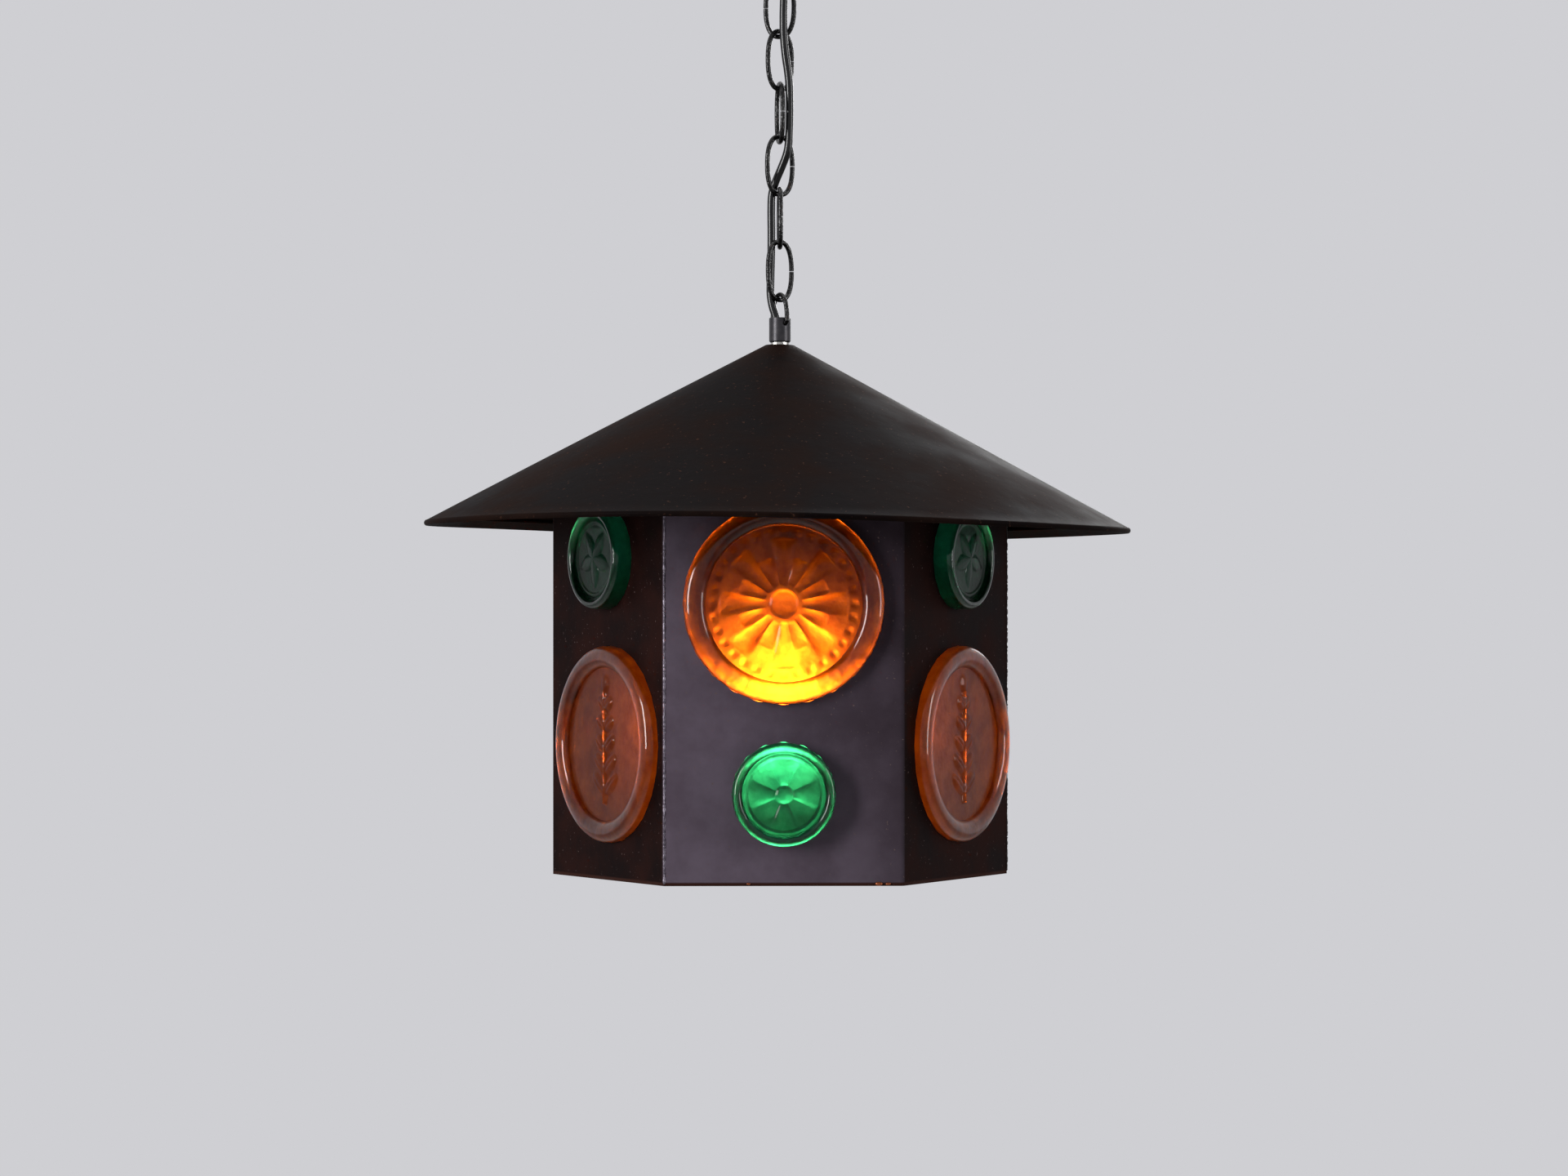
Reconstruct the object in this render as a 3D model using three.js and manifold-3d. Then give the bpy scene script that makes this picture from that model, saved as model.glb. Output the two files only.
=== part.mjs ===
// Hanging lantern: a six-sided sheet-metal body with cast glass discs under a wide conical roof,
// hung by a bail and a chain from a small ceiling fitting. Millimetres, +Z up.
// The origin is the centre of the ceiling plate's top face, and -Y is the lantern's front.

import * as THREE from 'three';
import { mergeVertices } from 'three/addons/utils/BufferGeometryUtils.js';
import Module from 'manifold-3d';

const wasm = await Module();
wasm.setup();

// Clearances
const seatGap = 0.3; // between a piece and what it sits on or hangs from
const holeGap = 0.3; // around a rod, tube or cord in its hole, on the radius
const glassGap = 0.4; // around a glass disc in its hole, on the radius

// Ceiling fitting
const plateDiameter = 84;
const plateThick = 2;
const plateScrewHole = 5;
const plateScrewSpread = 62; // between the two screw holes
const bossDiameter = 14;
const bossHeight = 8;
const bossFloor = 1; // solid metal left above the tapped hole, under the plate
const canopyDiameter = 96;
const canopyHeight = 44;
const canopySheet = 1;
const canopyFlatRadius = 22; // flat bottom of the cup
const canopyCorner = 21; // height of the cup's rounded corner
const canopyRimDrop = 1; // the cup's rim stops this far below the ceiling
const hookRod = 5;
const hookDrop = 28.25; // from the cup's underside to the centre of the rod at the hook's bottom
const hookBowl = 8; // hook radius at the centre of the rod
const hookTurn = 175; // degrees that the bowl goes round
const hookTip = 4; // straight end above the bowl
const canopyNutDiameter = 15;
const canopyNutHeight = 6;
const canopyNutBevel = 1.5;
const bushOffset = 14.5; // from the cup's middle to the cord bush
const bushAzimuth = -80;
const bushFlange = 6.2;
const bushFlangeThick = 1.6;
const bushNeck = 4.4;
const bushBevel = 0.6;
const terminalWidth = 24;
const terminalDepth = 15;
const terminalHeight = 12;
const terminalShoulder = 4.8; // bevel beside each row of screws
const terminalWell = 4.4;
const terminalOffset = 22; // from the cup's middle, on the cord's side

// Chain
const linkCount = 6;
const linkLength = 39.6; // outside
const linkWidth = 22; // outside
const linkWire = 3.1;
const linkSquareness = 2.4; // 2 is an ellipse, more is squarer
const linkSplit = 0.5; // open butt joint half way down one side
const hookAzimuth = 68; // direction of each flat shape's width, from +X
const linkAzimuths = [-22, 37, 100, 33, 92, 38];

// Bail and hanger sleeve
const bailWire = 2.9;
const bailDrop = 18.3; // from the top of the bail to the sleeve's cross holes, centre to centre
const bailAzimuth = -60;
const elbowTurn = 80; // degrees
const bailElbow = 2.25; // bend radius where the legs turn into the sleeve
const bailReach = 4.6; // how near the axis the turned-in ends come
const bailBulge = 0.5; // the legs clear the sleeve by this much
const bailSquareness = 2.2;
const sleeveDiameter = 13.6;
const sleeveHeight = 15.4;
const sleeveHoleDrop = 3.6; // from the sleeve's top to its cross holes
const sleeveChamfer = 0.7;
const washerDiameter = 11.6;
const washerThick = 1.2;

// Threaded tube and nuts
const tubeDiameter = 10;
const tubeBore = 7.4;
const tubeTopDrop = 2.6; // below the cross holes
const nutAcross = 14;
const nutThick = 4;

// Roof
const roofDiameter = 443;
const roofHeight = 113.4; // from the apex flat down to the middle of the rim
const apexFlat = 18;
const roofSheet = 1;
const hemWidth = 11;
const hemThick = 3.2; // folded edge, over both layers
const roofLean = 0.8; // degrees out of level, lower to the right
const rimWave = 1.2; // height of the waves in the hand-formed rim
const rimWaves = 3;
const rimWavePhase = 35;

// Body walls: three sheets, each folded once, soldered at three corners
const sideLength = 143; // outside, corner to corner
const wallSheet = 1.2;
const wallHeight = 252;
const wallTopDrop = 80.4; // from the roof's apex flat to the walls' top edge
const wallBend = 3; // outside radius of the folded corner
const lipWidth = 8; // bottom edge turned inwards
const lipNotch = 2.5; // the lip stops this far short of each corner
const solderWidth = 2.4;
const solderThick = 1;
const solderStop = 8; // below the walls' top edge

// Glass discs: the amber ones fill the faces' width, and the free height between a strap's tab and
// the walls' bottom edge is shared out above, between and below the two discs of a face
const glassCorner = 4.1; // from the glass's back edge to the walls' corner
const amberProud = 8;
const amberRim = 13.6; // width of the rolled rim
const amberDish = 5; // depth of the flat inside the rim
const amberLowShift = 3.7; // to the right, seen from outside
const greenShare = 0.519; // of an amber disc's radius
const greenProud = 12;
const greenRim = 6.4;
const greenDish = 3.6;
const glassFlange = 3.2; // wider back edge that the clips hold
const glassFlangeThick = 3.5;
const amberTopShare = 0.082; // of the free height, above an amber disc that is on top
const greenTopShare = 0.105;
const amberFootShare = 0.5; // and below an amber disc that is lowest
const greenFootShare = 0.52;
const clipWidth = 8;
const clipSheet = 1;
const clipFoot = 2.6;
const clipSink = 0.2; // into the wall, where it's soldered
const clipBite = 3; // how far a clip reaches over the glass
const clipAngles = [30, 150, 270];

// Bridge strap that carries the body on the tube
const strapWidth = 20;
const strapThick = 2;
const strapDrop = 2.3; // below the walls' top edge
const strapTab = 14; // turned-down end
const strapBend = 2.5;
const rivetDrop = 8.4; // from the strap's top face to the rivets
const rivetDiameter = 4;
const rivetHead = 8;
const rivetHeadThick = 2;
const rivetDome = 60; // degrees of the head's round
const rivetTail = 7.2; // diameter of the closed end, inside the strap
const rivetTailThick = 1.2;

// Lampholder and bulb
const holderDrop = 49; // from the walls' top edge to the top of the lampholder
const neckDiameter = 16;
const neckHeight = 10;
const capDiameter = 40;
const capHeight = 27;
const capWall = 1.6;
const capShoulder = 7.5; // height of the rounded shoulder
const insertDiameter = 34;
const insertDrop = 7; // below the cap's inner shelf, room for the terminals
const insertThick = 10;
const insertBevel = 1;
const ringHeight = 32;
const ringStep = 0.5; // the ring is this much wider than the cap, on the radius
const ringRound = 3;
const ringBore = 31;
const shellBore = 27.2; // threaded shell that takes the bulb
const shellSheet = 0.8;
const shellHeight = 25;
const shellFlange = 2.5; // turned in at the top
const contactWidth = 6;
const contactSheet = 0.5;
const contactDrop = 3.4; // from the insert to the contact's lower face
const contactLength = 12;
const bulbCap = 26.4; // diameter of the screw cap
const bulbCapHeight = 26;
const bulbDiameter = 60;
const bulbLength = 104;
const bulbButton = 8; // diameter of the contact at the cap's end
const bulbCapTaper = 5; // height of the cap's tapered end
const bulbNeckStep = 0.6; // the glass leaves the cap this much narrower, on the radius
const bulbShoulder = 40; // degrees above the globe's middle where the neck begins

// Cord
const cordDiameter = 5;
const cordSteps = 42;

// Facets
const amberFacets = 24;
const greenFacets = 16;
const roofFacets = 48;
const wireSides = 8;
const hookSteps = 22; // puts a ring of facets at the hook's lowest point, where the chain hangs
const linkSteps = 20; // a multiple of 4 puts rings of facets at a link's top and bottom
const bailSteps = 20;

// Heights, from the ceiling down
const canopyBottom = -canopyHeight;
const hookSeat = canopyBottom - hookDrop;
const linkSpan = linkLength - linkWire; // wire centre to wire centre
const firstLinkTop = hookSeat + hookRod / 2 + linkWire / 2 + seatGap;
const linkPitch = linkSpan - linkWire - seatGap;
const linkTop = (number) => firstLinkTop - number * linkPitch;
const lastLinkBottom = linkTop(linkCount - 1) - linkSpan;
const bailTop = lastLinkBottom + linkWire / 2 + bailWire / 2 + seatGap;
const crossHole = bailTop - bailDrop;
const sleeveTop = crossHole + sleeveHoleDrop;
const sleeveBottom = sleeveTop - sleeveHeight;
const washerTop = sleeveBottom - seatGap;
const apexTop = washerTop - washerThick - seatGap;
const wallTop = apexTop - wallTopDrop;
const wallBottom = wallTop - wallHeight;
const strapTop = wallTop - strapDrop;
const holderTop = wallTop - holderDrop;
const insertTop = holderTop - neckHeight - insertDrop;
const insertBottom = insertTop - insertThick;
const bulbTop = insertBottom - contactDrop - seatGap;

// The six-sided body's plan, and its discs' radii and heights above the walls' bottom edge
const amberRadius = sideLength / 2 - amberLowShift - glassFlange - glassCorner; // in the outer face
const greenRadius = amberRadius * greenShare;
const glassTop = wallHeight - strapDrop - strapTab - glassFlange;
const freeHeight = glassTop - 2 * (amberRadius + greenRadius) - 3 * glassFlange;
const amberHigh = glassTop - amberTopShare * freeHeight - amberRadius;
const greenHigh = glassTop - greenTopShare * freeHeight - greenRadius;
const amberLow = glassFlange + amberFootShare * freeHeight + amberRadius;
const greenLow = glassFlange + greenFootShare * freeHeight + greenRadius;
const apothem = sideLength * Math.cos(Math.PI / 6);
const innerApothem = apothem - wallSheet;

// The cord's centreline: from the terminal block through the bush, down through the chain's links,
// then through the sleeve and the tube to the lampholder
const cordPoints = [
  [2.5, -20, -(plateThick + seatGap + terminalHeight + seatGap)],
  [2.5, -19, -22], [2.5, -15.6, -32], [2.5, -14.3, -40], [2.5, -14.3, -48], [2.8, -13, -58],
  [2.9, -9.8, -69], [2.4, -7.4, -81], [2.1, -6.6, -93], [2.3, -6.5, -105], [3.4, -6.5, -117],
  [4.7, -6.5, -126], [5.7, -6.2, -135], [6, -5.8, -147], [5.9, -5.3, -158], [5.7, -4.7, -166],
  [5.4, -4, -172], [4, -2.9, -179], [0.9, -0.7, -187], [-2.5, 1.4, -195], [-4.9, 2.6, -203],
  [-5.4, 2.5, -213], [-5.3, 2.3, -227], [-5.4, 1.9, -241], [-5.8, 1.4, -255], [-5.9, 1.1, -266],
  [-4.7, 0.8, -274], [-2.4, 0.4, -281.5], [-0.8, 0.1, -289], [0, 0, -298], [0, 0, -330],
  [0, 0, -380], [0, 0, insertTop + seatGap],
];

const radians = THREE.MathUtils.degToRad;
const lantern = new THREE.Group();

// Materials
const paint = (color, roughness, metalness) =>
  new THREE.MeshStandardMaterial({ color, roughness, metalness });
const blackenedSteel = () => paint(0x15130f, 0.45, 0.7);
const brightSteel = () => paint(0xb9b6ae, 0.3, 1);
const brass = () => paint(0xb08d4a, 0.3, 1);
const patina = () => paint(0x3a3338, 0.5, 0.7);
const bakelite = () => paint(0x1b1613, 0.4, 0);
const porcelain = () => paint(0xe4e0d4, 0.35, 0);

// A closed mesh with shared corners, without the collapsed triangles at a turned shape's poles
function closed(geometry) {
  const bare = geometry.clone();
  bare.deleteAttribute('normal');
  bare.deleteAttribute('uv');
  const merged = mergeVertices(bare, 1e-4);
  const corners = merged.index.array;
  const kept = [];
  for (let i = 0; i < corners.length; i += 3) {
    const triangle = [corners[i], corners[i + 1], corners[i + 2]];
    if (new Set(triangle).size === 3) kept.push(...triangle);
  }
  merged.setIndex(kept);
  return merged;
}

function solid(geometry) {
  const mesh = closed(geometry);
  const vertProperties = new Float32Array(mesh.attributes.position.array);
  const triVerts = new Uint32Array(mesh.index.array);
  return new wasm.Manifold(new wasm.Mesh({ numProp: 3, vertProperties, triVerts }));
}

function fromSolid(body) {
  const { vertProperties, triVerts } = body.getMesh();
  const geometry = new THREE.BufferGeometry();
  geometry.setAttribute('position', new THREE.BufferAttribute(new Float32Array(vertProperties), 3));
  geometry.setIndex(Array.from(triVerts));
  return geometry;
}

function cut(geometry, cutters) {
  const body = cutters.reduce((left, cutter) => left.subtract(solid(cutter)), solid(geometry));
  return fromSolid(body);
}

function place(name, geometry, material, parent = lantern) {
  const mesh = new THREE.Mesh(closed(geometry), material);
  mesh.name = name;
  parent.add(mesh);
  return mesh;
}

// A profile of [radius, height] points turned about Z, listed anticlockwise
function turned(profile, facets, startAngle = 0) {
  const points = profile.map(([radius, height]) => new THREE.Vector2(radius, height));
  const geometry = new THREE.LatheGeometry(points, facets);
  geometry.rotateX(Math.PI / 2);
  geometry.rotateZ(startAngle);
  return geometry;
}

// A turned ring whose profile closes on itself
function turnedRing(profile, facets, startAngle = 0) {
  return turned([...profile, profile[0]], facets, startAngle);
}

function rod(radius, height, facets = 16) {
  return turned([[0, 0], [radius, 0], [radius, height], [0, height]], facets);
}

function polygon(radius, sides, turn = 0) {
  const shape = new THREE.Shape();
  const corners = Array.from({ length: sides }, (unused, i) => {
    const angle = turn + (i * 2 * Math.PI) / sides;
    return new THREE.Vector2(radius * Math.cos(angle), radius * Math.sin(angle));
  });
  return shape.setFromPoints(corners);
}

function plate(shape, thick) {
  return new THREE.ExtrudeGeometry(shape, { depth: thick, bevelEnabled: false, curveSegments: 8 });
}

// Round stock bent along a curve
function wire(points, diameter, steps, tension = 0.5) {
  const path = new THREE.CatmullRomCurve3(points, false, 'catmullrom', tension);
  const section = polygon(diameter / 2, wireSides, Math.PI / wireSides);
  return new THREE.ExtrudeGeometry(section, { extrudePath: path, steps, bevelEnabled: false });
}

// Points [width, height] in an upright plane whose width runs at the given azimuth
function uprightPlane(points, azimuth) {
  const angle = radians(azimuth);
  return points.map(([width, height]) =>
    new THREE.Vector3(width * Math.cos(angle), width * Math.sin(angle), height));
}

// Points on a circle, or on an ellipse when its second axis is stretched
function arc(centre, radius, from, to, steps, stretch = 1) {
  return Array.from({ length: steps + 1 }, (unused, i) => {
    const angle = radians(from + ((to - from) * i) / steps);
    return [centre[0] + radius * Math.cos(angle), centre[1] + radius * stretch * Math.sin(angle)];
  });
}

// A point on an ellipse that is squared off a little, at an angle in degrees
function squaredEllipse(halfWidth, halfHeight, squareness, angle) {
  const bend = (value) => Math.sign(value) * Math.abs(value) ** (2 / squareness);
  return [halfWidth * bend(Math.cos(radians(angle))), halfHeight * bend(Math.sin(radians(angle)))];
}

function mirrored(points) {
  return points.map(([width, height]) => [-width, height]).reverse();
}

function outline(points) {
  return new THREE.Shape(points.map(([x, y]) => new THREE.Vector2(x, y)));
}

// Ceiling fitting: plate with a tapped boss, cup, hook, nut, cord bush and terminal block
function ceilingFitting() {
  const boreRadius = hookRod / 2 + holeGap;
  const boreTop = -plateThick - bossFloor;
  const bossBottom = -plateThick - bossHeight;
  const plateRadius = plateDiameter / 2;
  const plateProfile = [
    [0, boreTop], [boreRadius, boreTop], [boreRadius, bossBottom], [bossDiameter / 2, bossBottom],
    [bossDiameter / 2, -plateThick], [plateRadius, -plateThick], [plateRadius, 0], [0, 0],
  ];
  const screwHoles = [-1, 1].map((side) =>
    rod(plateScrewHole / 2, plateThick * 3, 12).translate((side * plateScrewSpread) / 2, 0, -plateThick * 2));
  place('ceiling_plate', cut(turned(plateProfile, 20), screwHoles), blackenedSteel());

  // Cup: two quarter ellipses about one centre, a sheet's thickness apart
  const cornerWidth = canopyDiameter / 2 - canopyFlatRadius;
  const cornerCentre = [canopyFlatRadius, canopyBottom + canopyCorner];
  const quarter = (inset, from, to) => arc(cornerCentre, cornerWidth - inset, from, to, 3,
    (canopyCorner - inset) / (cornerWidth - inset));
  const cupProfile = [
    [boreRadius, canopyBottom], ...quarter(0, -90, 0),
    [canopyDiameter / 2, -canopyRimDrop], [canopyDiameter / 2 - canopySheet, -canopyRimDrop],
    ...quarter(canopySheet, 0, -90), [boreRadius, canopyBottom + canopySheet],
  ];
  const bushX = bushOffset * Math.cos(radians(bushAzimuth));
  const bushY = bushOffset * Math.sin(radians(bushAzimuth));
  const bushHole = rod(bushNeck + holeGap, canopySheet * 4, 16)
    .translate(bushX, bushY, canopyBottom - canopySheet);
  place('canopy', cut(turnedRing(cupProfile, 20), [bushHole]), blackenedSteel());

  const nutTop = canopyBottom - seatGap;
  const nutRadius = canopyNutDiameter / 2;
  const nutBottom = nutTop - canopyNutHeight;
  const nutProfile = [
    [boreRadius, nutBottom], [nutRadius - canopyNutBevel, nutBottom],
    [nutRadius, nutBottom + canopyNutBevel],
    [nutRadius, nutTop], [boreRadius, nutTop],
  ];
  place('canopy_nut', turnedRing(nutProfile, 14), blackenedSteel());

  // Hook: a straight shank, a sweep out to one side, then round under the axis
  const bowlCentre = hookSeat + hookBowl;
  const shankEnd = nutBottom - seatGap;
  const sweep = [1 / 3, 2 / 3].map((part) =>
    [(hookBowl * (Math.cos(Math.PI * part) - 1)) / 2, shankEnd + (bowlCentre - shankEnd) * part]);
  const hookShape = [
    [0, boreTop - seatGap], [0, canopyBottom / 2], [0, canopyBottom], [0, (nutTop + nutBottom) / 2],
    [0, shankEnd], ...sweep, ...arc([0, bowlCentre], hookBowl, 360 - hookTurn, 360, 8),
    [hookBowl, bowlCentre + hookTip],
  ];
  place('ceiling_hook', wire(uprightPlane(hookShape, hookAzimuth), hookRod, hookSteps), blackenedSteel());

  const cordHole = cordDiameter / 2 + holeGap;
  const neckTop = canopyBottom + canopySheet + seatGap;
  const neckBottom = canopyBottom - seatGap;
  const bushProfile = [
    [cordHole, neckBottom - bushFlangeThick], [bushFlange - bushBevel, neckBottom - bushFlangeThick],
    [bushFlange, neckBottom], [bushNeck, neckBottom], [bushNeck, neckTop], [bushFlange, neckTop],
    [bushFlange - bushBevel, neckTop + bushFlangeThick], [cordHole, neckTop + bushFlangeThick],
  ];
  const bush = place('cord_bush', turnedRing(bushProfile, 12), paint(0x0c0c0c, 0.8, 0));
  bush.position.set(bushX, bushY, 0);

  // Two-pole block, bevelled along both sides, with a screw well in each pole
  const half = [
    [terminalDepth / 2, 0], [terminalDepth / 2, terminalHeight - terminalShoulder],
    [terminalDepth / 2 - terminalShoulder, terminalHeight],
  ];
  const block = plate(outline([...half, ...mirrored(half)]), terminalWidth)
    .rotateX(Math.PI / 2)
    .rotateZ(Math.PI / 2)
    .translate(-terminalWidth / 2, 0, -terminalHeight);
  const wells = [-1, 1].map((side) =>
    rod(terminalWell / 2, terminalHeight, 12)
      .translate((side * terminalWidth) / 4, 0, -terminalHeight * 1.5));
  const terminal = place('terminal_block', cut(block, wells), porcelain());
  terminal.position.set(bushX, -terminalOffset, -plateThick - seatGap);
}

// One link: a flat oval bent from round wire, its ends meeting in an open butt joint
function chainLink(number) {
  const halfWidth = (linkWidth - linkWire) / 2;
  const halfSpan = linkSpan / 2;
  const centre = linkTop(number) - halfSpan;
  const openAngle = THREE.MathUtils.radToDeg(linkSplit / 2 / halfSpan);
  const count = 32;
  const shape = Array.from({ length: count + 1 }, (unused, i) => {
    const angle = openAngle + ((360 - 2 * openAngle) * i) / count;
    const [width, height] = squaredEllipse(halfWidth, halfSpan, linkSquareness, angle);
    return [width, centre + height];
  });
  const side = number % 2 === 0 ? 180 : 0;
  const points = uprightPlane(shape, linkAzimuths[number] + side);
  place(`chain_link_${number + 1}`, wire(points, linkWire, linkSteps), blackenedSteel());
}

// Bail: an arch of wire whose ends turn into the sleeve's cross holes
function suspensionBail() {
  const leg = sleeveDiameter / 2 + bailWire / 2 + bailBulge;
  const elbowTop = crossHole + bailElbow;
  const arch = [22.5, 45, 67.5].map((angle) => {
    const [width, height] = squaredEllipse(leg, bailTop - elbowTop, bailSquareness, angle);
    return [width, elbowTop + height];
  });
  const half = [
    [bailReach, crossHole], [leg - bailElbow * 1.2, crossHole],
    ...arc([leg - bailElbow, elbowTop], bailElbow, -elbowTurn, 0, 3), ...arch,
  ];
  const points = uprightPlane([...half, [0, bailTop], ...mirrored(half)], bailAzimuth);
  place('suspension_bail', wire(points, bailWire, bailSteps), blackenedSteel());
}

// Hanger sleeve, washer, threaded tube and the nuts on it
function centreTube() {
  const outer = sleeveDiameter / 2;
  const bore = tubeDiameter / 2 + holeGap;
  const sleeveProfile = [
    [bore, sleeveBottom], [outer - sleeveChamfer, sleeveBottom], [outer, sleeveBottom + sleeveChamfer],
    [outer, sleeveTop - sleeveChamfer / 2], [outer - sleeveChamfer / 2, sleeveTop], [bore, sleeveTop],
  ];
  const crossCutter = rod(bailWire / 2 + holeGap, sleeveDiameter * 2, 12)
    .translate(0, 0, -sleeveDiameter)
    .rotateY(Math.PI / 2)
    .rotateZ(radians(bailAzimuth))
    .translate(0, 0, crossHole);
  place('hanger_sleeve', cut(turnedRing(sleeveProfile, 16), [crossCutter]), blackenedSteel());

  const washerProfile = [
    [bore, washerTop - washerThick], [washerDiameter / 2, washerTop - washerThick],
    [washerDiameter / 2, washerTop], [bore, washerTop],
  ];
  place('apex_washer', turnedRing(washerProfile, 16), brightSteel());

  const tubeTop = crossHole - tubeTopDrop;
  const tubeBottom = holderTop - neckHeight + seatGap;
  const tubeProfile = [
    [tubeBore / 2, tubeBottom], [tubeDiameter / 2, tubeBottom],
    [tubeDiameter / 2, tubeTop], [tubeBore / 2, tubeTop],
  ];
  place('threaded_tube', turnedRing(tubeProfile, 16), brightSteel());

  const nutTops = {
    roof_nut: apexTop - roofSheet - seatGap,
    strap_nut_upper: strapTop + seatGap + nutThick,
    strap_nut_lower: strapTop - strapThick - seatGap,
  };
  const nutShape = polygon(nutAcross / 2 / Math.cos(Math.PI / 6), 6);
  const hole = new THREE.Path();
  hole.absarc(0, 0, bore, 0, 2 * Math.PI, true);
  nutShape.holes.push(hole);
  for (const [name, top] of Object.entries(nutTops)) {
    place(name, plate(nutShape, nutThick), brightSteel()).position.z = top - nutThick;
  }
}

// Roof: a cone of sheet metal, its edge folded under, a little wavy and out of level
function conicalRoof() {
  const flat = apexFlat / 2;
  const edge = roofDiameter / 2;
  const slope = roofHeight / (edge - flat);
  const drop = (radius) => -Math.max(0, radius - flat) * slope;
  const skin = roofSheet * Math.hypot(1, slope); // sheet thickness measured straight down
  const bore = tubeDiameter / 2 + holeGap;
  const hemStart = edge - hemWidth;
  const lowSkin = hemThick * Math.hypot(1, slope) - skin;
  const turnIn = hemThick / 2;
  const profile = [
    [bore, -roofSheet], [flat, -skin],
    [edge * 0.7, drop(edge * 0.7) - skin], [edge - turnIn, drop(edge - turnIn) - skin],
    [edge - turnIn, drop(edge - turnIn) - lowSkin], [hemStart, drop(hemStart) - lowSkin],
    [hemStart, drop(hemStart) - lowSkin - skin], [edge - turnIn * 0.7, drop(edge - turnIn) - lowSkin - skin],
    [edge, drop(edge) - lowSkin * 0.4], [edge - turnIn * 0.6, drop(edge - turnIn * 0.6)],
    [edge * 0.7, drop(edge * 0.7)], [flat, 0], [bore, 0],
  ];
  const cone = turnedRing(profile, roofFacets);
  const position = cone.attributes.position;
  for (let i = 0; i < position.count; i += 1) {
    const x = position.getX(i);
    const y = position.getY(i);
    const reach = Math.hypot(x, y) / edge;
    const swing = rimWaves * Math.atan2(y, x) + radians(rimWavePhase);
    position.setZ(i, position.getZ(i) + rimWave * reach ** 3 * Math.sin(swing));
  }
  const roof = place('roof', cone, patina());
  roof.position.z = apexTop;
  roof.rotation.y = radians(roofLean);
}

// Where something sits on a face: width to the right seen from outside, height up, depth outwards
function onFace(face, shift, height) {
  const matrix = new THREE.Matrix4().makeRotationZ(radians(60 * face));
  matrix.multiply(new THREE.Matrix4().makeTranslation(shift, -apothem, wallBottom + height));
  return matrix.multiply(new THREE.Matrix4().makeRotationX(Math.PI / 2));
}

const discKinds = {
  amber: {
    radius: amberRadius, proud: amberProud, rim: amberRim, dish: amberDish, facets: amberFacets,
    heights: [amberHigh, amberLow], shifts: [0, amberLowShift], color: 0xd2560f,
  },
  green: {
    radius: greenRadius, proud: greenProud, rim: greenRim, dish: greenDish, facets: greenFacets,
    heights: [greenLow, greenHigh], shifts: [0, 0], color: 0x0a7a3c,
  },
};

function discPlace(kind, face) {
  const layout = face % 2;
  return onFace(face, kind.shifts[layout], kind.heights[layout]);
}

// A cast disc: flanged back edge inside the wall, rolled rim and dished face outside
function glassDiscs() {
  const flangeFront = -wallSheet - seatGap;
  const back = flangeFront - glassFlangeThick;
  for (const [colourName, kind] of Object.entries(discKinds)) {
    const { radius, proud, rim, dish, facets } = kind;
    const edge = radius - glassGap;
    const halfRim = (rim - glassGap) / 2;
    const profile = [
      [0, back], [radius + glassFlange, back], [radius + glassFlange, flangeFront], [edge, flangeFront],
      ...arc([edge - halfRim, proud - dish], halfRim, 0, 180, 3, dish / halfRim), [0, proud - dish],
    ];
    for (let face = 0; face < 6; face += 1) {
      const glass = new THREE.MeshStandardMaterial({ color: kind.color, roughness: 0.1, metalness: 0 });
      const disc = place(`${colourName}_disc_${face + 1}`, turned(profile, facets), glass);
      disc.applyMatrix4(discPlace(kind, face));
    }
  }
}

// A clip: a bent tab soldered inside the wall, reaching over the glass's back edge
function clip(kind, angle) {
  const edge = kind.radius + glassFlange;
  const foot = edge + holeGap;
  const top = seatGap + glassFlangeThick + seatGap + clipSheet;
  const section = outline([
    [foot, -clipSink], [foot + clipFoot, -clipSink], [foot + clipFoot, top],
    [edge - clipBite, top], [edge - clipBite, top - clipSheet], [foot, top - clipSheet],
  ]);
  return plate(section, clipWidth)
    .translate(0, 0, -clipWidth / 2)
    .rotateX(-Math.PI / 2)
    .translate(0, 0, -wallSheet)
    .rotateZ(radians(angle));
}

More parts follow.
